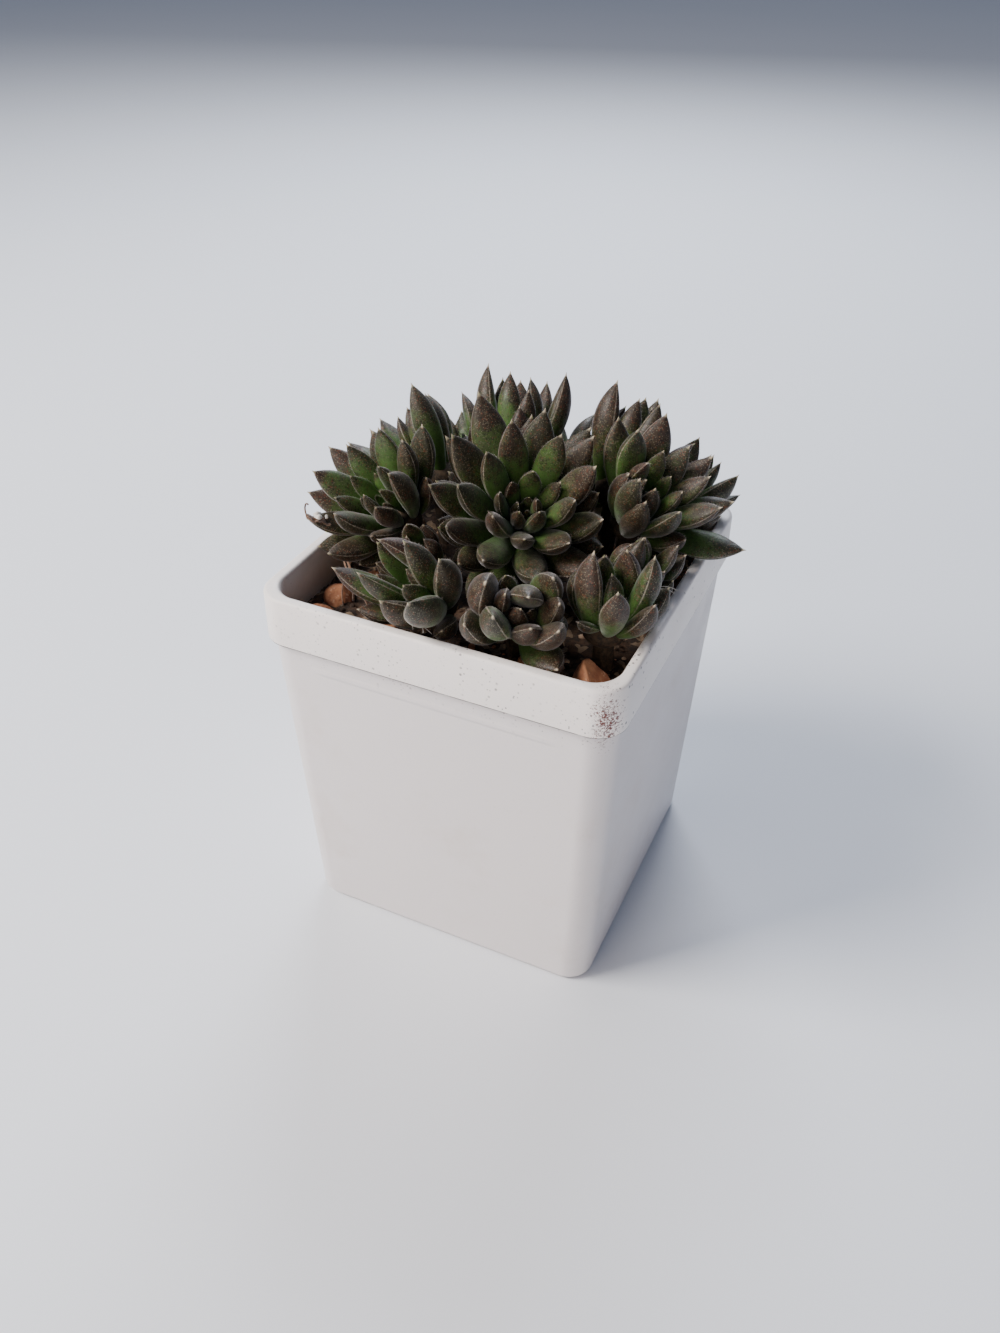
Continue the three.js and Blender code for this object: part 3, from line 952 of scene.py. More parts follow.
class Leaves:
    """The leaves of one rosette, in millimetres, as rows of numbers."""

    growth = Growth()
    rule = Settling()

    def __init__(self, plan: RosettePlan, index: int, shape: LeafShape) -> None:
        """Sprout the leaves by the golden turn, young ones upright in the heart.

        Args:
            plan: The rosette.
            index: Its place in the table, for its own draws.
            shape: The shape of a leaf.
        """
        self.plan, self.index, self.shape = plan, index, shape
        self.up, self.across, self.along = plan.axes()
        draw, grow, rows = Seed.LAYOUT.draw(index), self.growth, []
        for i in range(plan.leaves):
            age = (i + 0.5) / plan.leaves
            ripe = math.sin(math.pi / 2 * min(1, age / grow.grown_at))
            grown = grow.smallest + (1 - grow.smallest) * ripe
            length = plan.length * grown * (1 + draw.between(-0.09, 0.09))
            tilt = (grow.heart_tilt + (plan.spread - grow.heart_tilt) * age ** grow.opening
                    + draw.between(-5, 5))
            turn = math.radians(plan.phase) + i * GOLDEN_TURN + math.radians(draw.between(-6, 6))
            width = (plan.width * length * (1 + draw.between(-0.08, 0.1))
                     * (grow.heart_width + grow.more_width * age))
            curl = grow.heart_curl + grow.more_curl * age + draw.between(-6, 6)
            rows.append((age, length, math.radians(tilt), turn, width, math.radians(curl)))
        table = np.array(rows).T.copy()
        self.age, self.length, self.tilt, self.turn, self.width, self.curl = table
        self.planned = self.length.copy()
        self.thick = self.width * (grow.thickness + grow.more_thickness * self.age)

    def frames(self) -> tuple[np.ndarray, np.ndarray, np.ndarray]:
        """Find how each leaf stands.

        Returns:
            Its root, and its outward and sideways directions.
        """
        out = np.cos(self.turn)[:, None] * self.across + np.sin(self.turn)[:, None] * self.along
        root = (np.array(self.plan.crown) - self.plan.depth * self.age[:, None] * self.up
                + (self.growth.root_ring
                   + self.growth.root_spread * np.sqrt(self.age))[:, None] * out)
        return root, out, np.cross(self.up, out)

    def arc(self, t: np.ndarray) -> tuple[np.ndarray, np.ndarray]:
        """Follow every leaf's curled midline.

        Args:
            t: Stations from 0 at the root to 1 at the tip.

        Returns:
            The points and the upper face's directions, by leaf and station.
        """
        root, out, _ = self.frames()
        angle = self.tilt[:, None] - self.curl[:, None] * t
        reach = (np.cos(angle) - np.cos(self.tilt)[:, None]) / self.curl[:, None]
        rise = (np.sin(self.tilt)[:, None] - np.sin(angle)) / self.curl[:, None]
        path = reach[..., None] * out[:, None] + rise[..., None] * self.up
        points = root[:, None] + self.length[:, None, None] * path
        face = -np.cos(angle)[..., None] * out[:, None] + np.sin(angle)[..., None] * self.up
        return points, face

    def feelers(self) -> tuple[np.ndarray, np.ndarray, np.ndarray]:
        """Set round feelers, in pairs along each leaf, that stand for its body.

        Returns:
            Their places, radii and upward directions, by leaf and feeler.
        """
        t = np.array(self.rule.stations)
        points, face = self.arc(t)
        side = self.frames()[2][:, None]
        share = self.shape.outline(t)
        radius = np.maximum(self.thick[:, None] * share * self.rule.feeler_share,
                            self.rule.least_feeler)
        off = np.maximum(self.width[:, None] * share / 2 - radius, 0)[..., None]
        points = np.concatenate([points + side * off, points - side * off], axis=1)
        face = np.concatenate([face, face], axis=1)
        radius = np.concatenate([radius, radius], axis=1)
        return points - face * (self.rule.feeler_drop * radius)[..., None], radius, face

    def borders(self) -> tuple[np.ndarray, np.ndarray]:
        """Lay planes between this rosette and the others.

        Returns:
            The planes' normals and their distances along them.
        """
        own = np.array(self.plan.crown) + self.rule.fan_height * self.up
        normals, limits = [], []
        for other in ROSETTES:
            if other is self.plan:
                continue
            apart = np.array(other.crown) + self.rule.fan_height * other.axes()[0] - own
            distance = np.linalg.norm(apart)
            normal = apart / distance
            share = self.plan.room / (self.plan.room + other.room)
            normals.append(normal)
            limits.append(normal @ own + distance * share - self.rule.head_gap / 2)
        return np.array(normals), np.array(limits)

    def settle(self) -> None:
        """Push leaves apart, over the rim and clear of the neighbours, and drop crowded ones."""
        rule = self.rule
        borders = self.borders()
        pairs = np.triu_indices(len(self.age), 1)
        for step in range(rule.steps):
            points, radius, face = self.feelers()
            push, hits = np.zeros_like(points), np.zeros_like(radius)
            if step < rule.spreading_steps:
                self.spread_apart(points, radius, push, hits, pairs)
            worst = self.keep_clear(points, radius, push, hits, borders)
            root, _, side = self.frames()
            arm = np.linalg.norm(points - root[:, None], axis=2)
            ease = rule.eagerness / np.maximum(hits.sum(axis=1), 1)
            swing = ((push * side[:, None]).sum(axis=2) / arm).sum(axis=1) * ease
            bend = -((push * face).sum(axis=2) / arm).sum(axis=1) * ease
            most = rule.most_turn
            lever = np.maximum(np.sin(self.tilt), rule.least_lever)
            self.turn += np.clip(swing / lever, -most, most)
            self.tilt = np.clip(self.tilt + np.clip(bend, -most, most), *rule.tilts)
            if step >= rule.first_shrinking_step:
                shrink = 1 - rule.shrinking * np.clip(worst / rule.deep, 0, 1)
                self.length *= shrink
                self.width *= shrink ** rule.thinning
                self.thick *= shrink ** rule.thinning
        keep = self.length > rule.smallest_share * self.planned
        keep &= self.length > rule.smallest_leaf
        for name in ("age", "length", "tilt", "turn", "width", "curl", "planned", "thick"):
            setattr(self, name, getattr(self, name)[keep])

    @staticmethod
    def spread_apart(points: np.ndarray, radius: np.ndarray, push: np.ndarray,
                     hits: np.ndarray, pairs: tuple[np.ndarray, np.ndarray]) -> None:
        """Push the rosette's own leaves off one another.

        Args:
            points: The feelers' places.
            radius: Their radii.
            push: The pushes, added to in place.
            hits: The number of pushes, added to in place.
            pairs: Every pair of leaves once.
        """
        first, second = pairs
        apart = points[first][:, :, None] - points[second][:, None]
        distance = np.sqrt((apart * apart).sum(axis=-1)) + 1e-9
        overlap = np.clip(radius[first][:, :, None] + radius[second][:, None] - distance, 0, None)
        shove = apart * (overlap * 0.5 / distance)[..., None]
        np.add.at(push, first, shove.sum(axis=2))
        np.add.at(push, second, -shove.sum(axis=1))
        np.add.at(hits, first, (overlap > 0).sum(axis=2))
        np.add.at(hits, second, (overlap > 0).sum(axis=1))

    def keep_clear(self, points: np.ndarray, radius: np.ndarray, push: np.ndarray,
                   hits: np.ndarray, borders: tuple[np.ndarray, np.ndarray]) -> np.ndarray:
        """Push feelers back over the borders, off the rim and up from the soil.

        Args:
            points: The feelers' places.
            radius: Their radii.
            push: The pushes, added to in place.
            hits: The number of pushes, added to in place.
            borders: Normals and distances of the planes to the other rosettes.

        Returns:
            How deep each leaf's worst feeler is.
        """
        normals, limits = borders
        over = points @ normals.T + radius[..., None] - limits
        depth = np.clip(over.max(axis=2), 0, None)
        push -= normals[over.argmax(axis=2)] * depth[..., None]
        hits += depth > 0
        worst = depth.max(axis=1)
        up = self.rule.rim_top + self.rule.rim_gap - (points[..., 2] - radius)
        for axis in (0, 1):
            over_rim = np.abs(points[..., axis]) + radius - self.rule.rim_inside
            hit = (up > self.rule.least_overlap) & (over_rim > 0)
            inward = hit & (over_rim < up)
            push[..., axis] -= np.where(inward, np.sign(points[..., axis]) * over_rim, 0)
            push[..., 2] += np.where(hit & ~inward, up, 0)
            hits += hit
            worst = np.maximum(worst, np.where(hit, np.minimum(over_rim, up), 0).max(axis=1))
        low = self.rule.ground - (points[..., 2] - radius)
        push[..., 2] += np.where(low > 0, low, 0)
        hits += low > 0
        return np.maximum(worst, low.max(axis=1))


@dataclass(frozen=True)
class Clump:
    """All rosettes, each one piece of leaves with edge hairs, crown and stem, in millimetres."""

    shape: LeafShape = LeafShape()
    stem_radius: float = 2.0
    stem_foot: float = 60.0
    crown_radius: float = 4.2
    bark_relief: float = 0.3
    hair_length: float = 0.34
    hair_radius: float = 0.03
    hair_stations: int = 26
    hair_root: float = 0.94
    leaf_finish: LeafFinish = LeafFinish()
    stem_finish: StemFinish = StemFinish()
    hair_finish: FibreFinish = FibreFinish(
        "edge_hair", srgb(128, 118, 106), srgb(186, 176, 166))

    def build(self) -> None:
        """Build every rosette."""
        blade, cone = self.shape.build_blank(), self.build_cone()
        skin, bark = self.leaf_finish.build(), self.stem_finish.build()
        down = self.hair_finish.build()
        for index, plan in enumerate(ROSETTES):
            leaves = Leaves(plan, index, self.shape)
            leaves.settle()
            head = self.build_leaves(leaves, *blade, skin)
            stem = self.build_stem(plan, bark)
            hairs = self.build_hairs(leaves, *cone, down)
            hand_over(join(head.name, head, stem, hairs), Slot.LEAF, plan.node)

    @staticmethod
    def build_cone() -> tuple[np.ndarray, Faces]:
        """Model the three-sided spike of unit size that all hairs are copied from.

        Returns:
            Its points and its faces.
        """
        deselect()
        bpy.ops.mesh.primitive_cone_add(
            vertices=3, radius1=1, radius2=0, depth=1, location=(0, 0, 0.5))
        cone = bpy.context.object
        settle_place(cone)
        return take_blank(cone)

    def build_leaves(self, leaves: Leaves, blank: np.ndarray, faces: Faces,
                     skin: Material) -> Piece:
        """Copy the straight leaf for every leaf of a rosette, and bend and size each copy.

        Args:
            leaves: The settled leaves.
            blank: The straight leaf's points.
            faces: Its faces.
            skin: The leaves' material.

        Returns:
            All the leaves as one piece.
        """
        draw = Seed.TINTS.draw(leaves.index)
        side = leaves.frames()[2]
        across, rise, along = blank.T
        points, face = leaves.arc(along)
        share = np.maximum(self.shape.outline(np.clip(along, 0, 0.995)), 0.02)
        blade = np.stack([np.clip(across / share, -1, 1), along, np.sign(rise)], axis=1)
        places, tints = [], []
        for i, age in enumerate(leaves.age):
            plump = leaves.thick[i] * draw.between(0.92, 1.1)
            ripple = 1 + 0.03 * np.sin(9 * along + draw.between(0, 6))
            half = leaves.width[i] / 2
            places.append(points[i] + side[i] * (across * half * ripple)[:, None]
                          + face[i] * (rise * plump)[:, None])
            vigour = 0.39 + 0.34 * (1 - age) + draw.between(-0.12, 0.12)
            tints.append(np.tile([vigour, draw.between(0.1, 1), age], (len(blank), 1)))
        head = from_copies(leaves.plan.node + "_leaves", places, faces)
        add_attribute(head.data, "blade", [blade] * len(places))
        add_attribute(head.data, "tint", tints)
        head.data.materials.append(skin)
        head.data.shade_smooth()
        finer = head.modifiers.new("finer", "SUBSURF")
        finer.levels = finer.render_levels = 1
        apply_modifiers(head)
        return head

    def build_hairs(self, leaves: Leaves, blank: np.ndarray, faces: Faces,
                    down: Material) -> Piece:
        """Set short pale hairs along the edges of every leaf of a rosette.

        Args:
            leaves: The settled leaves.
            blank: The spike's points.
            faces: Its faces.
            down: The hairs' material.

        Returns:
            All the hairs as one piece.
        """
        draw = Seed.HAIRS.draw(leaves.index)
        t = np.linspace(0.3, 0.985, self.hair_stations)
        points, face = leaves.arc(t)
        side = leaves.frames()[2]
        share = self.shape.outline(t)
        places = []
        for i, k, way in product(range(len(leaves.age)), range(len(t) - 1), (-1, 1)):
            slide = draw.between(0, 1)
            middle = points[i, k] * (1 - slide) + points[i, k + 1] * slide
            half = leaves.width[i] / 2 * (share[k] * (1 - slide) + share[k + 1] * slide)
            ahead = points[i, k + 1] - points[i, k]
            ahead = ahead / np.linalg.norm(ahead)
            toward = (way * side[i] + ahead * draw.between(0.2, 0.9)
                      + face[i, k] * draw.between(-0.5, 0.6))
            toward = toward / np.linalg.norm(toward)
            first = np.cross(toward, face[i, k])
            first = first / np.linalg.norm(first)
            second = np.cross(toward, first)
            root = middle + way * side[i] * half * self.hair_root
            size = self.hair_length * draw.between(0.6, 1.25)
            places.append(root + blank[:, :1] * self.hair_radius * first
                          + blank[:, 1:2] * self.hair_radius * second
                          + blank[:, 2:] * (size + 0.06 * half) * toward)
        hairs = from_copies(leaves.plan.node + "_hairs", places, faces)
        hairs.data.materials.append(down)
        with all_in_edit_mode(hairs):
            bpy.ops.mesh.normals_make_consistent(inside=False)
        return hairs

    def build_stem(self, plan: RosettePlan, bark: Material) -> Piece:
        """Model the stem and the crown that the leaves are rooted in.

        Args:
            plan: The rosette.
            bark: The stem's material.

        Returns:
            Stem and crown as one piece.
        """
        up = Vector(plan.axes()[0])
        foot = Vector(plan.stem_foot())
        foot.z = self.stem_foot
        heart = Vector(plan.crown) - up * (0.55 * plan.depth)
        path = heart - foot
        deselect()
        bpy.ops.mesh.primitive_cylinder_add(
            vertices=12, radius=self.stem_radius * MM, depth=path.length * MM,
            location=(foot + path / 2) * MM, rotation=path.to_track_quat("Z", "Y").to_euler())
        stem = bpy.context.object
        with all_in_edit_mode(stem):
            bpy.ops.mesh.subdivide(number_cuts=3)
        bpy.ops.mesh.primitive_uv_sphere_add(
            segments=20, ring_count=12, radius=self.crown_radius * MM, location=heart * MM)
        core = bpy.context.object
        core.scale = (1, 1, 0.55 + 0.06 * plan.depth)
        core.rotation_euler = up.to_track_quat("Z", "Y").to_euler()
        settle_place(core)
        settle_place(stem)
        join(plan.node + "_stem", stem, core)
        places = points_of(stem.data)
        rough = np.array([noise.noise(Vector(p) * 900) * self.bark_relief * MM for p in places])
        move_points(stem.data, places + points_of(stem.data, "normal") * rough[:, None])
        stem.data.materials.append(bark)
        stem.data.shade_smooth()
        return stem


# Soil, pebbles and grit


@dataclass(frozen=True)
class Pebble:
    """One worn stone, half sunk in the soil, in millimetres. A sharp one is chipped flat."""

    x: float
    y: float
    size: float
    tall: float = 0.0
    sharp: bool = False


@dataclass(frozen=True)
class Ground:
    """Soil with its pebbles and crumbs, in millimetres."""

    pot: Pot
    pebble_top: float = 78.0
    loose_pebbles: int = 7
    floor: float = 2.3
    corner_radius: float = 3.3
    wall_gap: float = 0.3
    crumbs: int = 420
    crumb_spans: tuple[tuple[float, float], ...] = ((0.8, 1.3), (0.7, 1), (0.6, 0.9))
    pebble_spans: tuple[tuple[float, float], ...] = ((0.88, 1), (0.7, 0.92), (0.6, 0.8))
    dents: int = 5
    chip_depth: float = 0.62
    corner_pebbles: tuple[Pebble, ...] = (
        Pebble(-29, -28.5, 4.6), Pebble(-21, -30, 3.6),
        Pebble(-29.5, -19.5, 3.7), Pebble(28.8, -29.2, 5.8, 8.4, sharp=True))
    soil_finish: SoilFinish = SoilFinish()
    terracotta: StoneFinish = StoneFinish(
        "terracotta_stone", srgb(186, 128, 90), srgb(136, 84, 58), srgb(216, 180, 150))
    tan: StoneFinish = StoneFinish(
        "tan_stone", srgb(188, 158, 132), srgb(126, 98, 78), srgb(214, 198, 178))

    def choose_pebbles(self) -> list[Pebble]:
        """Place the loose pebbles along the walls, as the solids do.

        Returns:
            All pebbles, those in the corners first.
        """
        draw = Seed.PEBBLES.draw()
        chosen = list(self.corner_pebbles)
        stems = [plan.stem_foot() for plan in ROSETTES]
        edge = self.pot.cavity_width_at(SOIL_TOP * MM) / MM / 2 - 1
        while len(chosen) < len(self.corner_pebbles) + self.loose_pebbles:
            size = draw.between(2, 3.2)
            reach = edge - size
            x = draw.between(-reach, reach)
            y = draw.between(-reach, reach)
            near_wall = max(abs(x), abs(y)) > 20
            in_corner = min(abs(x), abs(y)) > reach - 2
            clear = all(math.hypot(p.x - x, p.y - y) > p.size + size + 0.6 for p in chosen)
            off_stems = all(math.hypot(s[0] - x, s[1] - y) > size + 4 for s in stems)
            if near_wall and not in_corner and clear and off_stems:
                chosen.append(Pebble(x, y, size))
        return chosen

    def build(self) -> None:
        """Build soil, pebbles and crumbs."""
        soil = self.soil_finish.build()
        self.build_soil(soil)
        stones = [self.terracotta.build(), self.tan.build()]
        pebbles = self.choose_pebbles()
        for index, pebble in enumerate(pebbles):
            self.build_pebble(index, pebble, stones[0 if index % 3 != 1 else 1])
        self.build_crumbs(pebbles, [soil, *stones])

    @staticmethod
    def height_at(x: float, y: float) -> float:
        """Find the uneven height of the soil.

        Args:
            x: Place across the pot.
            y: Place from front to back.

        Returns:
            The height, in millimetres.
        """
        place = Vector((x, y, 0.0))
        lumps = noise.noise(place * 0.35) * 0.7 + noise.noise(place * 0.9) * 0.45
        return SOIL_TOP + 0.1 + lumps + noise.noise(place * 2.4) * 0.2

    def build_soil(self, finish: Material) -> None:
        """Model the soil as a fine plate, drawn down to the pot's floor and roughened on top.

        Args:
            finish: The soil's material.
        """
        deselect()
        gap = 2 * self.wall_gap * MM
        width = self.pot.cavity_width_at((SOIL_TOP - 1.5) * MM) - gap
        bpy.ops.mesh.primitive_grid_add(
            x_subdivisions=110, y_subdivisions=110, size=width, location=(0, 0, SOIL_TOP * MM))
        soil = bpy.context.object
        soil.name = "soil_fill"
        settle_place(soil)
        places = points_of(soil.data)
        inner = width / 2 - self.corner_radius * MM
        corner = (np.abs(places[:, 0]) > inner) & (np.abs(places[:, 1]) > inner)
        offset = np.abs(places[:, :2]) - inner
        square = np.maximum(offset.max(axis=1), 1e-9)
        round_off = square / np.maximum(np.hypot(offset[:, 0], offset[:, 1]), 1e-9)
        pulled = np.sign(places[:, :2]) * (inner + offset * round_off[:, None])
        places[:, :2] = np.where(corner[:, None], pulled, places[:, :2])
        move_points(soil.data, places)
        with all_in_edit_mode(soil):
            drop = (self.floor - SOIL_TOP) * MM
            bpy.ops.mesh.extrude_region_move(TRANSFORM_OT_translate={"value": (0, 0, drop)})
            scale = (self.pot.cavity_width_at(self.floor * MM) - gap) / width
            bpy.ops.transform.resize(value=(scale, scale, 1))
        places = points_of(soil.data)
        top = places[:, 2] > 0.9 * SOIL_TOP * MM
        places[top, 2] = [self.height_at(p[0] / MM, p[1] / MM) * MM for p in places[top]]
        move_points(soil.data, places)
        clean_shell(soil)
        soil.data.shade_smooth()
        soil.data.materials.append(finish)
        hand_over(soil, Slot.SOIL, "soil")

    def build_pebble(self, index: int, pebble: Pebble, stone: Material) -> None:
        """Model one stone from a ball, squashed and dented as in the solids, then worn.

        Args:
            index: The stone's place in the list, for its own draws.
            pebble: Its place and size.
            stone: Its material.
        """
        draw = Seed.STONE.draw(index)
        radii = [pebble.size * draw.between(*span) for span in self.pebble_spans]
        radii[2] = pebble.tall or min(radii[2], self.pebble_top - SOIL_TOP - 0.6)
        spin = Matrix.Rotation(draw.between(0, math.pi), 3, "Z")
        dents = [Vector([draw.between(low, 1) for low in (-1, -1, -0.6)]).normalized()
                 for _ in range(self.dents)]
        deselect()
        bpy.ops.mesh.primitive_ico_sphere_add(subdivisions=5, radius=1)
        ball = bpy.context.object
        ball.name = f"pebble_{index + 1:02d}_stone"
        centre = Vector((pebble.x, pebble.y, SOIL_TOP + 0.5))
        for vertex in ball.data.vertices:
            p = vertex.co.copy()
            reach = max(p.dot(dent) for dent in dents)
            kept = (min(1, self.chip_depth / max(reach, 0.1)) if pebble.sharp
                    else 1 - 0.7 * max(reach - 0.72, 0))
            wear = 1 + 0.05 * noise.noise(p * 2.2 + centre) + 0.02 * noise.noise(p * 7 + centre)
            p = p * (kept * wear)
            p = Vector((p.x * radii[0], p.y * radii[1], p.z * radii[2]))
            vertex.co = (centre + spin @ p) * MM
        ball.data.shade_smooth()
        ball.data.materials.append(stone)
        hand_over(ball, Slot.PEBBLE, f"pebble_{index + 1:02d}")

    def build_crumbs(self, pebbles: list[Pebble], finishes: list[Material]) -> None:
        """Scatter crumbs of mix and grit over the soil, as one piece.

        Args:
            pebbles: The stones to keep off.
            finishes: The mix's material and the stones'.
        """
        deselect()
        bpy.ops.mesh.primitive_uv_sphere_add(segments=8, ring_count=5, radius=1)
        start, faces = take_blank(bpy.context.object)
        draw = Seed.CRUMBS.draw()
        reach = self.pot.cavity_width_at(SOIL_TOP * MM) / MM / 2 - 1.8
        places, kinds = [], []
        while len(kinds) < self.crumbs:
            x, y = draw.between(-reach, reach), draw.between(-reach, reach)
            size = 0.25 + 0.75 * draw.between(0, 1) ** 2
            if any(math.hypot(p.x - x, p.y - y) < 0.8 * p.size for p in pebbles):
                continue
            spot = Vector((x, y, 0))
            lumps = 1 + 0.22 * np.array([[noise.noise(Vector(p) * 1.7 + spot)] for p in start])
            stretch = np.array([draw.between(*span) for span in self.crumb_spans])
            places.append(start * lumps * stretch * size
                          + np.array([x, y, self.height_at(x, y) + 0.25 * size]))
            kinds.append(0 if draw.between(0, 1) < 0.66 else int(draw.between(1, 2.999)))
        crumbs = from_copies("soil_crumbs", places, faces)
        for finish in finishes:
            crumbs.data.materials.append(finish)
        crumbs.data.polygons.foreach_set("material_index", np.repeat(kinds, len(faces)))
        crumbs.data.shade_smooth()
        hand_over(crumbs, Slot.SOIL)


# Threads, rootlets and the dried leaf


@dataclass(frozen=True)
class Thread:
    """One thin round thread through five places, in millimetres."""

    radius: float
    places: tuple[Point, ...]

    def build(self) -> Piece:
        """Draw the thread as a curve and turn it into a mesh.

        Returns:
            The thread.
        """
        deselect()
        bpy.ops.curve.primitive_nurbs_path_add(location=(0, 0, 0))
        thread = bpy.context.object
        spline = thread.data.splines[0]
        spline.use_endpoint_u = True
        for knot, place in zip(spline.points, self.places):
            knot.co = (*(value * MM for value in place), 1)
        thread.data.bevel_depth = self.radius * MM
        thread.data.bevel_resolution = 1
        thread.data.use_fill_caps = True
        bpy.ops.object.convert(target="MESH")
        settle_place(thread)
        clean_shell(thread)
        return thread


@dataclass(frozen=True)
class Litter:
    """Cobweb at the rim, rootlets under the left head and that head's dried leaf tip."""

    cobweb: tuple[Thread, ...] = (
        Thread(0.04, ((-7.4, -33.8, 85.2), (-5, -35.4, 85.6), (-2.5, -35.6, 87.0),
                      (-0.8, -35.2, 85.8), (0.2, -34.9, 84.4))),
        Thread(0.035, ((-3.5, -35.2, 84.4), (-3.4, -35.8, 87.4), (-1.6, -36.2, 88.0),
                       (-0.6, -35.9, 86.0), (-1.4, -35.3, 84.4))),
        Thread(0.035, ((-6, -34.6, 84.4), (-4.8, -35.2, 87.0), (-2.2, -35.4, 88.4),
                       (-1.4, -35, 89.2), (-1.8, -34, 89.6))),
        Thread(0.035, ((34, -12, 90), (35.6, -12.5, 91.2), (37, -13, 91.8),
                       (38.2, -13.6, 91.6), (39, -14.6, 92))),
        Thread(0.035, ((33, -13.5, 89), (34.5, -13, 91.6), (36.5, -13.2, 92.8),
                       (38, -14, 92.8), (39.5, -15.2, 93.2))))
    rootlets: tuple[Thread, ...] = (
        Thread(0.3, ((-29, -17, 83.6), (-27, -18.5, 82.6), (-25.5, -19.4, 80.5),
                     (-25.8, -19.6, 78), (-26.2, -19.5, 74.9))),
        Thread(0.22, ((-30, -16, 82), (-28.4, -18, 80.2), (-25.4, -19.8, 79.6),
                      (-23.2, -20.4, 77.8), (-22, -20.4, 74.9))),
        Thread(0.18, ((-27.6, -15, 84), (-27.4, -17.6, 81.8), (-28.6, -19.6, 79.4),
                      (-28.2, -21, 77), (-27, -22, 74.9))))
    curl: Thread = Thread(0.17, ((-35.2, -19.6, 91.9), (-35.9, -19.6, 93.2), (-36.1, -19.2, 94.5),
                                 (-35.6, -19.0, 95.2), (-35.1, -19.1, 94.6)))
    dried_tip: Point = (-33.6, -18.6, 91.9)
    dried_size: float = 5.2
    dried_turn: float = 55
    dried_slope: float = 23
    crumb_sizes: tuple[float, ...] = (0.75, 0.5, 0.42, 0.34, 0.3)
    thread_finish: FibreFinish = FibreFinish("cobweb", srgb(186, 180, 170), srgb(226, 222, 216))
    dry_finish: FibreFinish = FibreFinish("dried_leaf", srgb(74, 50, 36), srgb(142, 106, 80))
    crumb_finish: FibreFinish = FibreFinish("pale_crumb", srgb(188, 180, 168), srgb(230, 226, 218))

    def build(self) -> None:
        """Build the cobweb, the rootlets and the dried tip with its crumbs."""
        web, dry, pale = (finish.build() for finish in
                          (self.thread_finish, self.dry_finish, self.crumb_finish))
        draw = Seed.DRIED_TIP.draw()
        for name, finish, slot, pieces in (
                ("cobweb_threads", web, Slot.LEAF, [thread.build() for thread in self.cobweb]),
                ("rootlets", dry, Slot.SOIL, [thread.build() for thread in self.rootlets]),
                ("dried_leaf_tip", dry, Slot.LEAF, [self.build_rag(), self.curl.build()]),
                ("pale_crumbs", pale, Slot.LEAF,
                 [self.build_crumb(size, draw) for size in self.crumb_sizes])):
            litter = join(name, *pieces)
            litter.data.materials.append(finish)
            hand_over(litter, slot)

    def laid_on_leaf(self, places: np.ndarray) -> np.ndarray:
        """Carry places from a flat plate at the origin to the dried end of the leaf.

        Args:
            places: Places on and above the plate.

        Returns:
            The same places on the leaf.
        """
        turn = Matrix.Rotation(math.radians(self.dried_turn), 3, "Z")
        slope = Matrix.Rotation(math.radians(self.dried_slope), 3, "Y")
        return places @ np.array(turn @ slope).T + np.array(self.dried_tip)

    def build_rag(self) -> Piece:
        """Crumple a small plate into the dried end of a leaf.

        Returns:
            The dried end.
        """
        deselect()
        bpy.ops.mesh.primitive_grid_add(
            x_subdivisions=14, y_subdivisions=10, size=self.dried_size * MM, location=(0, 0, 0))
        rag = bpy.context.object
        settle_place(rag)
        places = points_of(rag.data) / MM
        along = places[:, 0] / self.dried_size + 0.5
        places[:, 1] *= 0.55 * (1 - 0.7 * (1 - along) ** 2)
        folds = [noise.noise(Vector(p) * 0.7) * 1.1 + noise.noise(Vector(p) * 2.1) * 0.5
                 for p in places]
        places[:, 2] = np.array(folds) - 0.18 * places[:, 1] ** 2
        move_points(rag.data, self.laid_on_leaf(places) * MM)
        shell = rag.modifiers.new("thick", "SOLIDIFY")
        shell.thickness = 0.3 * MM
        finer = rag.modifiers.new("finer", "SUBSURF")
        finer.levels = finer.render_levels = 1
        apply_modifiers(rag)
        clean_shell(rag)
        rag.data.shade_smooth()
        return rag

    def build_crumb(self, size: float, draw: Draw) -> Piece:
        """Lay one pale crumb on the dried tip.

        Args:
            size: Its radius.
            draw: The draw that places it.

        Returns:
            The crumb.
        """
        deselect()
        flat = np.array([draw.between(-0.4, 2.0), draw.between(-1.0, 0.3), 0.5])
        place = self.laid_on_leaf(flat) * MM
        bpy.ops.mesh.primitive_ico_sphere_add(subdivisions=3, radius=size * MM, location=place)
        crumb = bpy.context.object
        settle_place(crumb)
        places = points_of(crumb.data)
        lumps = np.array([1 + 0.35 * noise.noise(Vector(p) * 1600) for p in places])
        move_points(crumb.data, place + (places - place) * lumps[:, None])
        crumb.data.shade_smooth()
        return crumb


# Studio


@dataclass(frozen=True)
class SoftLight:
    """One square soft light that faces the plant: metres, watts and its colour."""

    name: str
    place: Point
    size: float
    power: float
    colour: Colour
    target: Point = (0, 0, 70 * MM)

    def build(self) -> None:
        """Hang the light."""
        data = bpy.data.lights.new(self.name, "AREA")
        data.shape = "SQUARE"
        data.size = self.size
        data.energy = self.power
        data.color = self.colour[:3]
        light = bpy.data.objects.new(self.name, data)
        light.location = self.place
        aim = Vector(self.target) - Vector(self.place)
        light.rotation_euler = aim.to_track_quat("-Z", "Y").to_euler()
        bpy.context.collection.objects.link(light)


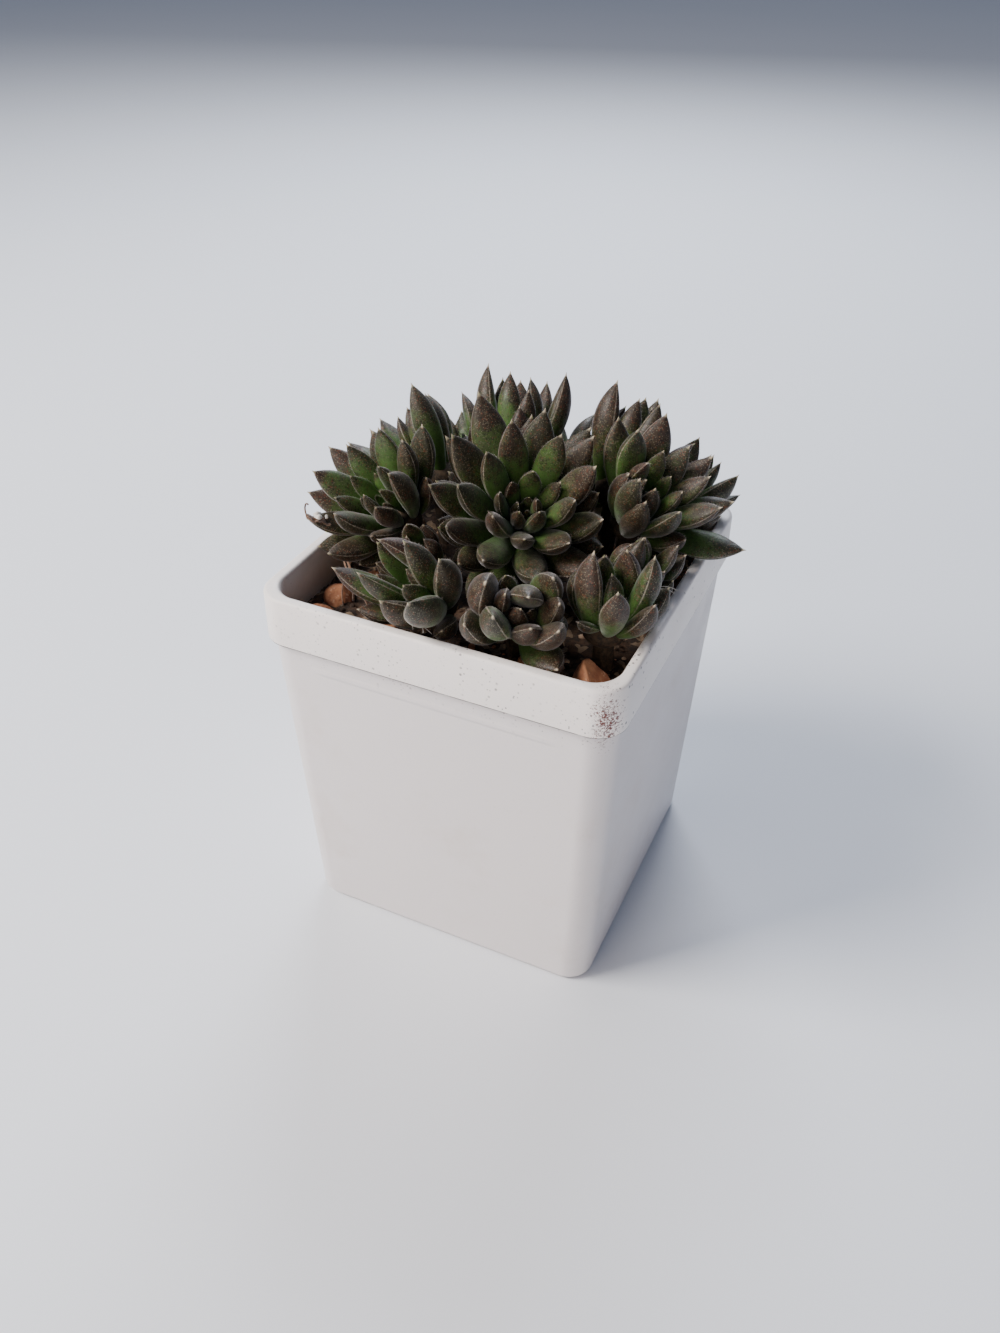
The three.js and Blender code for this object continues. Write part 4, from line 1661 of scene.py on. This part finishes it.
@dataclass(frozen=True)
class Studio:
    """Pale floor, soft lights and the camera at the photograph's angle."""

    lens: float = 30.39
    sensor_height: float = 36
    azimuth: float = 24.571
    elevation: float = 36.916
    roll: float = 0.577
    camera_place: Point = (80.7467 * MM, -181.1579 * MM, 202.2948 * MM)
    lights: tuple[SoftLight, ...] = (
        SoftLight("key_light", (-0.55, -0.4, 0.7), 0.40, 13.8, srgb(255, 250, 246)),
        SoftLight("front_light", (-0.15, -0.8, 0.3), 0.6, 3.4, srgb(255, 240, 228)),
        SoftLight("back_light", (-0.2, 0.65, 0.65), 0.45, 8.0, srgb(236, 243, 255)))
    sky: Colour = srgb(200, 213, 244)
    sky_strength: float = 0.27

    def build(self) -> None:
        """Set up camera, floor, lights and world."""
        self.add_camera()
        self.add_floor()
        for light in self.lights:
            light.build()
        world = bpy.data.worlds.new("studio_world")
        bpy.context.scene.world = world
        world.use_nodes = True
        background = world.node_tree.nodes["Background"]
        background.inputs["Color"].default_value = self.sky
        background.inputs["Strength"].default_value = self.sky_strength

    def add_camera(self) -> None:
        """Place the camera where the photograph was taken from."""
        data = bpy.data.cameras.new("photo_camera")
        data.lens = self.lens
        data.sensor_fit = "VERTICAL"
        data.sensor_height = self.sensor_height
        data.clip_start = 0.01
        camera = bpy.data.objects.new("photo_camera", data)
        camera.matrix_world = Matrix.Translation(self.camera_place)
        for angle, axis in ((self.azimuth, "Z"), (90 - self.elevation, "X"), (self.roll, "Z")):
            camera.matrix_world @= Matrix.Rotation(math.radians(angle), 4, axis)
        bpy.context.collection.objects.link(camera)
        bpy.context.scene.camera = camera

    @staticmethod
    def add_floor() -> None:
        """Lay a plain pale floor."""
        deselect()
        bpy.ops.mesh.primitive_plane_add(size=4)
        floor = bpy.context.object
        floor.name = "floor"
        r = Recipe("pale_floor")
        tone = r.mix(r.noise(3, 2), srgb(226, 229, 234), srgb(232, 234, 238))
        floor.data.materials.append(r.finish(tone, 0.8))


def main() -> None:
    """Build the whole scene in order."""
    logging.basicConfig(level=logging.INFO, format="%(name)s: %(message)s")
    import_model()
    pot = Pot()
    for assembly in (Studio(), pot, Ground(pot), Clump(), Litter()):
        assembly.build()
        LOG.info("%s is built", type(assembly).__name__)
    deselect()


if __name__ == "__main__":
    main()
